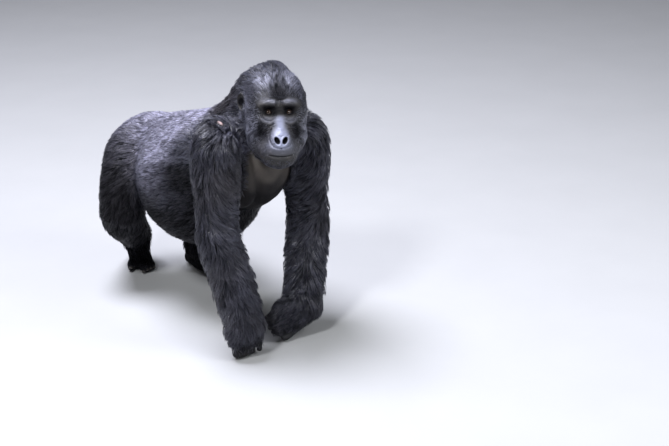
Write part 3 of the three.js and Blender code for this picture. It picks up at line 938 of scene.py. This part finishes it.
def nail_piece():
    """Every nail as a domed plate with an even thickness, set on the skin."""
    rows = NAIL_ROWS
    points, faces = [], []
    for spot, ahead, up, wide in toe_nails() + finger_nails():
        spot = (np.asarray(spot) + DRAWN) * MM
        up = straight(up)
        for _ in range(NAIL_STEPS):
            spot = spot - up * np.clip(SKIN.at(spot[None])[0], -NAIL_STEP, NAIL_STEP)
        up = straight(1.5 * up + SKIN.slope(spot[None])[0])
        ahead = straight(np.asarray(ahead) - up * np.dot(ahead, up))
        across = np.cross(ahead, up)
        first = len(points)
        for layer in (0.0, NAIL_THICKNESS):
            for u in np.linspace(-1.0, 1.0, rows):
                for v in np.linspace(-0.5, 0.5, rows):
                    narrow = 1.0 - 0.25 * (v + 0.5) ** 4
                    arch = 0.36 * wide * (math.sqrt(1.0 - 0.75 * u * u) - 0.8) - 2.0 * v * v
                    points.append(spot + MM * (across * (u * narrow * wide / 2)
                                               + ahead * (v * NAIL_LENGTH) + up * (arch + layer)))
        inner = first + np.arange(rows * rows).reshape(rows, rows)
        outer = inner + rows * rows
        for grid, turned in ((inner, 1), (outer, -1)):
            for k, m in itertools.product(range(rows - 1), repeat=2):
                corners = (grid[k, m], grid[k, m + 1], grid[k + 1, m + 1], grid[k + 1, m])
                faces.append(corners[::turned])
        rim = [(k, 0) for k in range(rows)] + [(rows - 1, m) for m in range(1, rows)]
        rim += [(rows - 1 - k, rows - 1 - m) for k, m in rim[1:-1]]
        for (a, b), (c, d) in zip(rim, rim[1:] + rim[:1]):
            faces.append((inner[a, b], inner[c, d], outer[c, d], outer[a, b]))
    piece = add_piece("nails", np.array(points), np.array(faces))
    unwrap(piece)
    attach(piece, "root")
    return piece


nails = nail_piece()

# ---------------------------------------------------------------- places of the locks

def corners_of(mesh):
    """Triangles of the mesh, and the place of each of their corners in the map OFBake."""
    points, triangles = mesh_arrays(mesh)
    loops = read(mesh.loop_triangles, "loops", 3, np.int32)
    return points.astype(float), triangles, read(mesh.uv_layers["OFBake"].uv, "vector", 2)[loops]


def scatter(mesh, how_many):
    """Random places all over the mesh: points and their places in the map OFBake."""
    points, triangles, places = corners_of(mesh)
    a, b, c = (points[triangles[:, k]] for k in range(3))
    areas = np.linalg.norm(np.cross(b - a, c - a), axis=1)
    chosen = rng.choice(len(triangles), how_many, p=areas / areas.sum())
    u, v = rng.random((2, how_many))
    flip = u + v > 1.0
    u = np.where(flip, 1.0 - u, u)[:, None]
    v = np.where(flip, 1.0 - v, v)[:, None]
    spots = a[chosen] + u * (b - a)[chosen] + v * (c - a)[chosen]
    places = places[chosen]
    return spots, places[:, 0] + u * (places[:, 1] - places[:, 0]) + v * (places[:, 2] - places[:, 0])


def cell_numbers(points, size):
    """The number of the cell of that size that each point lies in."""
    cells = np.floor(points / size).astype(np.int64)
    return (cells[:, 0] * 73856093) ^ (cells[:, 1] * 19349663) ^ (cells[:, 2] * 83492791)


def thinned(points, spacing):
    """Which points to keep so that about one is left in each cell of that size."""
    return np.unique(cell_numbers(points, spacing), return_index=True)[1]


def lie_of_coat(points, normals, weights):
    """Which way the hair runs along the skin, as unit vectors."""
    lie = np.zeros_like(points)
    soft = shares(points, LIE_SOFTNESS)
    for name in FLESH:
        outwards, back, up = LIES.get(name, COATS[kind(name)].lie)
        side = side_of(name) if side_of(name) else np.tanh(points[:, 0] / 0.05)
        way = np.stack([outwards * side * np.ones(len(points)), np.full(len(points), back),
                        np.full(len(points), up)], axis=1)
        if kind(name) == "upper_arm":
            low, high = box_of(name)
            centre = np.array([*(low + high)[:2] / 2, high[2] - SHOULDER_RADIUS])
            over = np.cross(np.array([0.0, side, 0.0]), points - centre) / SHOULDER_RADIUS
            way = over + np.array(SHOULDER_FALL)
        if name == "head":
            local = to_head(points)
            rise = np.where(local[:, 2] > 0.0, local[:, 2] * 0.85, local[:, 2] * 1.5)
            fan = np.stack([local[:, 0], np.full(len(points), 85.0), rise], axis=1)
            way = unit(fan) @ HEAD_AXES.T
        lie += unit(way) * soft[name][:, None]
    lie -= normals * dot(lie, normals)[:, None]
    lie = unit(lie)
    shag = 0.3 + 0.7 * mixed(weights, "shag")
    turn = shag * (0.26 * waves(points, 0.05, 21) + 0.12 * rng.normal(size=len(points)))
    return lie * np.cos(turn)[:, None] + np.cross(normals, lie) * np.sin(turn)[:, None]


STUBBLE = 0.0035                 # length of hair inside the bare face, in metres
EDGE_HAIR = 0.0045               # what it gains at the edge of the bare face
HEAD_HAIR = 0.0390               # what it gains further back
BEARD = 0.016                    # what it gains under the chin


def hair_length(points, normals, weights):
    """Length of each lock; none grows where it comes out as zero."""
    length = mixed(weights, "length")
    local = to_head(points)
    reach = hair_reach(local)
    head = weights["head"]
    on_head = STUBBLE + EDGE_HAIR * smooth_step(-16.0, 2.0, reach)
    on_head += HEAD_HAIR * smooth_step(2.0, 36.0, reach)
    on_head += BEARD * smooth_step(-168.0, -186.0, local[:, 2]) * smooth_step(-20.0, 4.0, reach)
    length = length * (1.0 - head) + on_head * head
    chest = bare_chest(points, weights)
    length = length * (1.0 - 0.6 * chest) * (1.0 - 0.86 * scar(points, SCAR_SHORT))
    ears = smooth_step(0.062, 0.026, away_from_ears(points))
    length = length * (1.0 - 0.65 * ears)
    hand, foot = (sum(weights[name] for name in FLESH if kind(name) == part)
                  for part in ("hand", "foot"))
    length = length * (1.0 - 0.72 * hand * smooth_step(0.135, 0.055, points[:, 2]))
    lips = smooth_step(-34.0, -6.0, reach) * smooth_step(-100.0, -150.0, local[:, 2])
    thick = np.maximum(smooth_step(-15.0, 3.0, reach), 0.7 * lips)
    bare = (head > 0.5) & (rng.random(len(points)) > thick)
    bare |= (ears > 0.93) | (scar(points) > 0.4)
    bare |= chest > 0.35 + 0.4 * rng.random(len(points))
    bare |= (hand + foot > 0.5) & (normals[:, 2] < -0.5)
    thin = rng.random(len(points))
    bare |= (hand > 0.5) & (thin > smooth_step(0.030, 0.075, points[:, 2]))
    bare |= (foot > 0.5) & (thin > smooth_step(0.018, 0.045, points[:, 2]))
    return np.where(bare, 0.0, length)


# ---------------------------------------------------------------- the coat

LONG = 0.047                     # locks of coats longer than this have one more bend
LONG_STEPS = (0.0, 0.32, 0.68, 1.0)      # shares of a lock's length where its rings of points lie
SHORT_STEPS = (0.0, 0.5, 1.0)
CLUMP = 0.014                    # how wide a clump of locks is
CLUMP_PULL = 0.72                # how far its tips are drawn together
PATCH = 0.003                    # how wide the patch of each lock is in the map OFBake
UNEVEN_LENGTH = (0.72, 1.22)     # lengths and widths of single locks, as shares of their coat's
UNEVEN_WIDTH = (0.75, 1.25)
UNEVEN_RISE = (-0.08, 0.18)      # how much lower or higher than its coat a lock stands
FLATTENED = 0.55                 # how much lower a whole clump may lie in the shaggiest coat
CURL = 0.20                      # sideways bend of locks that grow together
LONE_CURL = 0.09                 # and of each lock by itself
DROOP = 0.22                     # how far long hair sags where it hangs below the body
LIFT = 0.035                     # how far a point of a lock is moved at most towards its height
ROOT_SUNK = 0.0016               # how deep the root of a lock sits in the skin
LOCK_WIDTHS = (0.80, 1.0, 0.72, 0.5)     # of a lock's width, from its root on
ROOTS = 420000                   # how many places are tried; about one in each cell is kept
TRUNK_SPLIT = (-0.1, 0.08)       # where the trunk's coat is divided, so that no piece grows too large


class Locks:
    """Locks of hair, each given by its root, lie, length, height over the skin and width."""

    def __init__(self, roots, length, width):
        self.roots = roots
        self.length = length * rng.uniform(*UNEVEN_LENGTH, len(roots))
        self.width = width * rng.uniform(*UNEVEN_WIDTH, len(roots))
        self.normals = SKIN.slope(roots)
        self.weights = shares(roots)
        self.depth = coat_depth(roots, self.weights)
        self.lie = lie_of_coat(roots, self.normals, self.weights)

    def along(self, share):
        """Middle of each lock at a share of its length."""
        low = 0.10 * self.length
        height = np.maximum(self.depth * self.rise, low) * (2.0 * share - share ** 2)
        reach = np.sqrt(np.maximum(self.length ** 2 - height ** 2, (0.4 * self.length) ** 2))
        sideways = np.cross(self.normals, self.lie) * (self.curl * share ** 2 * self.length)[:, None]
        spot = self.roots + self.lie * (reach * share)[:, None] + sideways
        slope = SKIN.slope(spot)
        shift = np.clip(height - SKIN.at(spot), -LIFT, LIFT)
        spot = spot + slope * shift[:, None]
        spot[:, 2] -= self.droop * self.length * share ** 2
        return spot

    def clumps(self):
        """The number of the clump each lock belongs to; locks of one clump lean together."""
        warp = np.stack([waves(self.roots, 0.04, 41 + k) for k in range(3)], axis=1) * 0.008
        numbers = cell_numbers(self.roots + warp, CLUMP)
        return np.unique(numbers, return_inverse=True)[1].reshape(-1)

    def spines(self, shares_along):
        """Points along the middle of each lock, one array for each share of its length."""
        clump = self.clumps()
        count = np.bincount(clump)[:, None]
        shag = mixed(self.weights, "shag")
        chance = np.random.default_rng(7).random((len(count), 2))[clump]
        self.rise = 1.0 - FLATTENED * shag * (1.0 - chance[:, 0])
        self.rise = self.rise + rng.uniform(*UNEVEN_RISE, len(self.roots))
        self.tone = chance[:, 1]
        self.curl = CURL * waves(self.roots, 0.03, 31) + LONE_CURL * rng.normal(size=len(self.roots))
        self.curl *= 0.3 + 0.7 * shag
        below = smooth_step(0.5, -0.6, self.normals[:, 2])
        self.droop = DROOP * below * smooth_step(0.030, 0.055, self.length)
        rows = [self.roots - self.normals * ROOT_SUNK]
        rows += [self.along(share) for share in shares_along[1:]]
        tips = rows[-1]
        middle = np.stack([np.bincount(clump, tips[:, k]) for k in range(3)], axis=1) / count
        pull = (middle[clump] - tips) * (CLUMP_PULL * smooth_step(0.012, 0.050, self.length))[:, None]
        far = np.linalg.norm(pull, axis=1) > 0.6 * self.length
        pull[far] = 0.0
        for k, share in enumerate(shares_along[1:], 1):
            rows[k] = rows[k] + pull * share ** 2
        return rows


def grow(name, roots, places, length, width, shares_along):
    """One piece of the coat: a tapered lock from each root, three-sided, open at its root."""
    locks = Locks(roots, length, width)
    rows = locks.spines(shares_along)
    sides = 3
    rings = len(rows) - 1
    how_many = len(roots)
    points = np.empty((how_many, rings * sides + 1, 3))
    patch = np.empty((how_many, rings * sides + 1, 2))
    tip_share = np.empty((how_many, rings * sides + 1))
    for k in range(rings):
        ahead = unit(rows[k + 1] - rows[max(k - 1, 0)])
        across = unit(np.cross(ahead, locks.normals))
        up = np.cross(across, ahead)
        wide = (locks.width * LOCK_WIDTHS[k])[:, None]
        corners = (across * 0.5, across * -0.5, up * 0.42)
        for side, corner in enumerate(corners):
            points[:, k * sides + side] = rows[k] + corner * wide
            patch[:, k * sides + side] = places + np.array([side / sides, k / rings]) * PATCH
            tip_share[:, k * sides + side] = shares_along[k]
    points[:, -1] = rows[-1]
    patch[:, -1] = places + np.array([1 / sides, 1.0]) * PATCH
    tip_share[:, -1] = 1.0
    faces = []
    for k in range(rings - 1):
        for side in range(sides):
            a = k * sides + side
            b = k * sides + (side + 1) % sides
            faces += [(a, b, b + sides), (a, b + sides, a + sides)]
    last = (rings - 1) * sides
    faces += [(last + side, last + (side + 1) % sides, rings * sides) for side in range(sides)]
    faces = np.array(faces)[:, ::-1]
    each = rings * sides + 1
    faces = (faces[None] + each * np.arange(how_many)[:, None, None]).reshape(-1, 3)
    piece = add_piece(name, points.reshape(-1, 3), faces)
    mesh = piece.data
    patch = np.clip(patch.reshape(-1, 2)[faces.reshape(-1)], 0.0, 1.0)
    write(mesh.uv_layers.new(name="OFBake").uv, "vector", patch)
    for mark, values in marks(roots, locks.normals, locks.weights).items():
        if mark not in ("gloss", "bare", "scar", "chest"):
            add_attribute(mesh, mark, np.repeat(values, each))
    lone = rng.random(how_many) ** 2
    add_attribute(mesh, "tone", np.repeat(0.68 * locks.tone + 0.32 * lone, each))
    add_attribute(mesh, "tip", tip_share.reshape(-1))
    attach(piece, "root")
    return piece


def coat_pieces():
    spots, places = scatter(skin.data, ROOTS)
    weights = shares(spots)
    owner = np.argmax(np.stack([weights[name] for name in FLESH]), axis=0)
    normals = SKIN.slope(spots)
    length = hair_length(spots, normals, weights)
    width = mixed(weights, "width")
    pieces = []
    for number, name in enumerate(FLESH):
        mine = np.flatnonzero((owner == number) & (length > 0.0))
        if not len(mine):
            continue
        mine = mine[thinned(spots[mine], COATS[kind(name)].spacing)]
        divided = [("", mine)]
        if name == "trunk":
            x = spots[mine, 0]
            low, high = TRUNK_SPLIT
            divided = [("_right", mine[x < low]), ("_left", mine[x >= high]),
                      ("_middle", mine[(x >= low) & (x < high)])]
        steps = LONG_STEPS if COATS[kind(name)].length > LONG else SHORT_STEPS
        for suffix, part in divided:
            pieces.append(grow("coat_" + name + suffix, spots[part], places[part], length[part],
                               width[part], steps))
    return pieces


coat = coat_pieces()

# ---------------------------------------------------------------- materials

class Nodes:
    """A material, and short ways to add nodes to it."""

    def __init__(self, name):
        self.material = bpy.data.materials.new(name)
        self.material.use_nodes = True
        self.tree = self.material.node_tree
        self.shader = self.tree.nodes["Principled BSDF"]

    def add(self, type_name, **settings):
        node = self.tree.nodes.new("ShaderNode" + type_name)
        for key, value in settings.items():
            setattr(node, key, value)
        return node

    def join(self, source, target):
        self.tree.links.new(source, target)

    def drive(self, name, source):
        """Joins the output of a node to an input of the shader."""
        self.join(source, self.shader.inputs[name])

    def varied(self, colour, value):
        """The colour, lighter or darker by a value."""
        node = self.add("HueSaturation")
        self.join(colour, node.inputs["Color"])
        self.join(value, node.inputs["Value"])
        return node.outputs["Color"]

    def attribute(self, name):
        return self.add("Attribute", attribute_name=name).outputs["Fac"]

    def noise(self, scale, detail=4.0, roughness=0.55, stretch=None):
        place = self.add("TexCoord").outputs["Object"]
        if stretch:
            mapping = self.add("Mapping")
            mapping.inputs["Scale"].default_value = stretch
            self.join(place, mapping.inputs["Vector"])
            place = mapping.outputs["Vector"]
        noise = self.add("TexNoise")
        for key, number in zip(("Scale", "Detail", "Roughness"), (scale, detail, roughness)):
            noise.inputs[key].default_value = number
        self.join(place, noise.inputs["Vector"])
        return noise.outputs["Fac"]

    def mix(self, share, low, high):
        """Colour between low and high, each a colour or the output of a node. The share may be
        the name of a mark."""
        share = self.attribute(share) if isinstance(share, str) else share
        node = self.add("Mix", data_type="RGBA")
        sockets = (node.inputs["Factor"], node.inputs[6], node.inputs[7])
        for value, socket in zip((share, low, high), sockets):
            if isinstance(value, (tuple, float)):
                socket.default_value = (*value, 1.0) if isinstance(value, tuple) else value
            else:
                self.join(value, socket)
        return node.outputs[2]

    def span(self, value, low, high, from_low=0.0, from_high=1.0):
        """The value moved from one span of numbers to another."""
        node = self.add("MapRange")
        keys = ("From Min", "From Max", "To Min", "To Max")
        for key, number in zip(keys, (from_low, from_high, low, high)):
            node.inputs[key].default_value = number
        self.join(value, node.inputs["Value"])
        return node.outputs["Result"]

    def sum(self, a, b, operation="ADD"):
        """The sum of two values, or what another operation makes of them."""
        node = self.add("Math", operation=operation)
        for value, socket in ((a, node.inputs[0]), (b, node.inputs[1])):
            if isinstance(value, float):
                socket.default_value = value
            else:
                self.join(value, socket)
        return node.outputs["Value"]

    def bump(self, height, distance, strength=1.0):
        node = self.add("Bump")
        node.inputs["Strength"].default_value = strength
        node.inputs["Distance"].default_value = distance
        self.join(height, node.inputs["Height"])
        self.drive("Normal", node.outputs["Normal"])

    def set(self, **values):
        for key, value in values.items():
            self.shader.inputs[key.replace("_", " ")].default_value = value


# Colours of the coat, at the roots and the tips of its locks.
BLACK_ROOT = (0.006, 0.006, 0.008)
BLACK_TIP = (0.032, 0.032, 0.049)
BROWN_TIP = (0.032, 0.027, 0.030)
SILVER_ROOT = (0.040, 0.041, 0.050)
# The silver tips are partly the hair's own silver and partly a painted bluish highlight of the sky; the
# tips below them are a painted bluish sheen.
SILVER_TIP = (0.520, 0.505, 0.660)
PAINTED_SHEEN_TIP = (0.330, 0.336, 0.425)


def coat_material():
    nodes = Nodes("coat")
    tip = nodes.attribute("tip")
    tone = nodes.attribute("tone")
    silver = nodes.attribute("silver")
    warm = nodes.span(nodes.attribute("warm"), 0.0, 1.0, 0.35, 0.85)
    streak = nodes.noise(240.0, 3.0)
    grown = nodes.mix(nodes.span(tip, 0.1, 1.0, 0.0, 0.8), BLACK_ROOT,
                      nodes.mix(warm, BLACK_TIP, BROWN_TIP))
    # The silver mark carries the painted highlight along the back and the painted top light as well as
    # the saddle.
    grown = nodes.mix(silver, grown, nodes.mix(tip, SILVER_ROOT, SILVER_TIP))
    # Painted bluish sheen.
    grown = nodes.mix("grey", grown, nodes.mix(tip, SILVER_ROOT, PAINTED_SHEEN_TIP))
    # Painted shade.
    grown = nodes.mix("dark", grown, BLACK_ROOT)
    value = nodes.sum(nodes.span(tone, 0.12, 2.60), nodes.span(streak, -0.3, 0.3))
    nodes.drive("Base Color", nodes.varied(grown, value))
    nodes.drive("Roughness", nodes.span(streak, 0.28, 0.46))
    nodes.bump(nodes.noise(900.0, 2.0), 0.0004, 0.6)
    nodes.set(Sheen_Roughness=0.4, Sheen_Tint=(0.6, 0.66, 0.85, 1.0))
    dark = nodes.attribute("dark")
    nodes.drive("Sheen Weight", nodes.span(dark, 0.09, 0.0))
    shine = nodes.sum(nodes.span(tone, 0.15, 1.0, 0.08, 0.55), nodes.span(dark, 1.0, 0.12), "MULTIPLY")
    nodes.drive("Specular IOR Level", shine)
    return nodes.material


# Colours of the skin and the nails.
SKIN_BLACK = (0.016, 0.015, 0.016)
SKIN_BROWN = (0.026, 0.022, 0.019)
# A painted reflection of the sky on glossy black skin.
SKY_REFLECTION_BLUE = (0.235, 0.250, 0.345)
CHEST_BROWN = (0.058, 0.048, 0.040)
SCAR_PINK = (0.42, 0.30, 0.29)
NAIL_BLACK = (0.014, 0.012, 0.011)
NAIL_GREY = (0.060, 0.054, 0.050)


def skin_material():
    nodes = Nodes("skin")
    silver = nodes.attribute("silver")
    blotch = nodes.noise(38.0, 5.0)
    pores = nodes.noise(900.0, 3.0)
    # Under the coat the skin follows the silver mark, with its painted highlight and top light.
    under_coat = nodes.mix(silver, BLACK_ROOT, SILVER_ROOT)
    bare = nodes.mix(nodes.span(blotch, 0.0, 1.0, 0.35, 0.7), SKIN_BLACK, SKIN_BROWN)
    bare = nodes.mix("chest", bare, CHEST_BROWN)
    colour = nodes.mix("bare", under_coat, bare)
    # Painted reflection of the sky on glossy skin.
    colour = nodes.mix("gloss", colour, SKY_REFLECTION_BLUE)
    # Painted shade.
    colour = nodes.mix("dark", colour, BLACK_ROOT)
    colour = nodes.mix("scar", colour, SCAR_PINK)
    value = nodes.sum(nodes.span(pores, 0.8, 1.2), nodes.span(blotch, -0.2, 0.2))
    nodes.drive("Base Color", nodes.varied(colour, value))
    shine = nodes.span(nodes.attribute("gloss"), 0.62, 0.36)
    nodes.drive("Roughness", nodes.sum(shine, nodes.span(pores, -0.06, 0.06)))
    nodes.drive("Specular IOR Level", nodes.span(nodes.attribute("dark"), 0.5, 0.05))
    wrinkles = nodes.sum(pores, nodes.noise(260.0, 3.0, 0.6, (1.0, 1.0, 2.4)))
    nodes.bump(wrinkles, 0.0006, 0.7)
    return nodes.material


def nail_material():
    nodes = Nodes("nail")
    grown = nodes.noise(160.0, 4.0)
    nodes.drive("Base Color", nodes.mix(grown, NAIL_BLACK, NAIL_GREY))
    nodes.drive("Roughness", nodes.span(grown, 0.30, 0.48))
    nodes.bump(nodes.noise(700.0, 2.0), 0.0003, 0.5)
    return nodes.material


FLOOR_DARK = (0.40, 0.405, 0.41)
FLOOR_LIGHT = (0.43, 0.435, 0.44)


def floor_material():
    nodes = Nodes("studio_floor")
    nodes.drive("Base Color", nodes.mix(nodes.noise(3.0, 3.0), FLOOR_DARK, FLOOR_LIGHT))
    nodes.drive("Roughness", nodes.span(nodes.noise(40.0), 0.7, 0.85))
    return nodes.material


def eye_material():
    """Pupil, streaked amber iris and dark white of the eye, by distance from the eye's axis."""
    nodes = Nodes("eye")
    away = nodes.attribute("away")
    around = nodes.attribute("around")
    streaks = nodes.add("TexNoise", noise_dimensions="1D")
    streaks.inputs["Scale"].default_value = 9.0
    streaks.inputs["Detail"].default_value = 3.0
    nodes.join(around, streaks.inputs["W"])
    iris = nodes.mix(nodes.span(streaks.outputs["Fac"], 0.0, 1.0, 0.3, 0.7), IRIS_DARK, IRIS_AMBER)
    rim = nodes.span(away, 0.0, 0.85, IRIS_RADIUS * 0.72, IRIS_RADIUS)
    iris = nodes.mix(rim, iris, EYE_BROWN)
    eye = nodes.mix(nodes.span(away, 0.0, 1.0, PUPIL_RADIUS, PUPIL_RADIUS + 0.5), BLACK_ROOT, iris)
    white = nodes.mix(nodes.noise(300.0), EYE_BROWN, EYE_LIGHT)
    eye = nodes.mix(nodes.span(away, 0.0, 1.0, IRIS_RADIUS, IRIS_RADIUS + 0.8), eye, white)
    nodes.drive("Base Color", eye)
    nodes.drive("Roughness", nodes.span(nodes.noise(500.0), 0.10, 0.18))
    nodes.bump(nodes.noise(260.0, 2.0), 0.0002, 0.15)
    nodes.set(Coat_Weight=0.8, Coat_Roughness=0.04)
    return nodes.material


IRIS_RADIUS = 6.0
PUPIL_RADIUS = 2.4
IRIS_DARK = (0.040, 0.016, 0.005)
IRIS_AMBER = (0.060, 0.032, 0.014)
EYE_BROWN = (0.016, 0.011, 0.010)
EYE_LIGHT = (0.040, 0.027, 0.022)
CORNEA_EDGE = 34.0               # degrees from the eye's axis
CORNEA_BULGE = 1.3
EYE_RINGS = (36, 48)             # rings of each eyeball, and points of each ring
GAZE = (-9.0, 10.0)              # where the eyes look: to the head's left, and up, in degrees


def eyeball(name, side):
    """An eyeball with a bulging cornea that looks out along GAZE."""
    rings, around = EYE_RINGS
    turn, rise = (math.radians(angle) for angle in GAZE)
    ahead = np.array([math.sin(turn) * math.cos(rise), -math.cos(turn) * math.cos(rise), math.sin(rise)])
    across = np.cross(ahead, (0.0, 0.0, 1.0))
    across /= np.linalg.norm(across)
    up = np.cross(across, ahead)
    points, away, turns = [], [], []
    for ring in range(1, rings):
        angle = math.pi * (ring / rings) ** 1.25
        bulge = max(0.0, 1.0 - (math.degrees(angle) / CORNEA_EDGE) ** 2)
        radius = EYE_RADIUS + CORNEA_BULGE * bulge ** 0.8
        for k in range(around):
            spin = 2.0 * math.pi * k / around
            radial = across * math.cos(spin) + up * math.sin(spin)
            points.append(ahead * radius * math.cos(angle) + radial * radius * math.sin(angle))
            away.append(EYE_RADIUS * math.sin(min(angle, math.pi / 2)))
            turns.append(2.0 * abs(k / around - 0.5) * math.pi)
    faces = ring_faces(rings - 1, around, -1)
    front, rear = len(points), len(points) + 1
    points += [ahead * (EYE_RADIUS + CORNEA_BULGE), -ahead * EYE_RADIUS]
    away += [0.0, EYE_RADIUS]
    turns += [0.0, 0.0]
    last = (rings - 2) * around
    for k in range(around):
        faces.append((front, k, (k + 1) % around))
        faces.append((rear, last + (k + 1) % around, last + k))
    mesh = head_mesh(name, np.array(points) + np.array([side * EYE_X, EYE_Y, 0.0]), faces)
    add_attribute(mesh, "away", away)
    add_attribute(mesh, "around", turns)
    ball = in_scene(name, mesh)
    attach(ball, "root")
    return ball


eye_look = eye_material()
for name, side in (("eye_right", -1), ("eye_left", 1)):
    ball = eyeball(name.replace("eye", "eyeball"), side)
    ball.data.materials.append(eye_look)
    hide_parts(name)

skin.data.materials.append(skin_material())
nails.data.materials.append(nail_material())
coat_look = coat_material()
for piece in coat:
    piece.data.materials.append(coat_look)

# ---------------------------------------------------------------- camera and light

# The camera looks past the animal, which stands left of the middle of the view.
AIM = (Vector(CAD_BOX[0]) + Vector(CAD_BOX[1])) / 2 + Vector((0.0295, -0.8066, 0.0353))
AZIMUTH = math.radians(37.0)
ELEVATION = math.radians(21.0)
DISTANCE = 6.0
LENS = 87.82
SENSOR = 36.0
# Each light: its place, size, power and colour.
LIGHTS = {
    "sky": ((-1.0, 1.2, 6.5), 3.6, 900.0, (0.88, 0.89, 1.0)),
    "key": ((-3.6, -2.2, 4.6), 0.9, 215.0, (0.97, 0.98, 1.0)),
    "fill": ((2.0, -4.4, 3.6), 3.0, 170.0, (0.95, 0.97, 1.0)),
}
WORLD_COLOUR = (0.86, 0.88, 0.92, 1.0)
WORLD_STRENGTH = 0.12
FLOOR_HALF = 30.0                # half of the floor's side, in metres

camera = in_scene("camera", bpy.data.cameras.new("camera"))
camera.data.lens = LENS
camera.data.sensor_width = SENSOR
away = Vector((-math.sin(AZIMUTH) * math.cos(ELEVATION), -math.cos(AZIMUTH) * math.cos(ELEVATION),
               math.sin(ELEVATION)))
camera.location = AIM + away * DISTANCE
camera.rotation_euler = away.to_track_quat("Z", "Y").to_euler()
bpy.context.scene.camera = camera


def area_light(name, spot, size, power, colour):
    light = in_scene(name, bpy.data.lights.new(name, "AREA"))
    light.data.shape = "DISK"
    light.data.size = size
    light.data.energy = power
    light.data.color = colour
    light.location = spot
    light.rotation_euler = (Vector(spot) - AIM).to_track_quat("Z", "Y").to_euler()


for name, settings in LIGHTS.items():
    area_light(name, *settings)

world = bpy.data.worlds.new("studio")
bpy.context.scene.world = world
bpy.context.scene.view_settings.view_transform = "Standard"
world.use_nodes = True
backdrop = world.node_tree.nodes["Background"]
backdrop.inputs["Color"].default_value = WORLD_COLOUR
backdrop.inputs["Strength"].default_value = WORLD_STRENGTH

floor_mesh = bpy.data.meshes.new("floor")
floor_corners = [(x * FLOOR_HALF, y * FLOOR_HALF, 0.0) for x, y in ((-1, -1), (1, -1), (1, 1), (-1, 1))]
floor_mesh.from_pydata(floor_corners, [], [(0, 1, 2, 3)])
floor = in_scene("floor", floor_mesh)
floor_mesh.materials.append(floor_material())
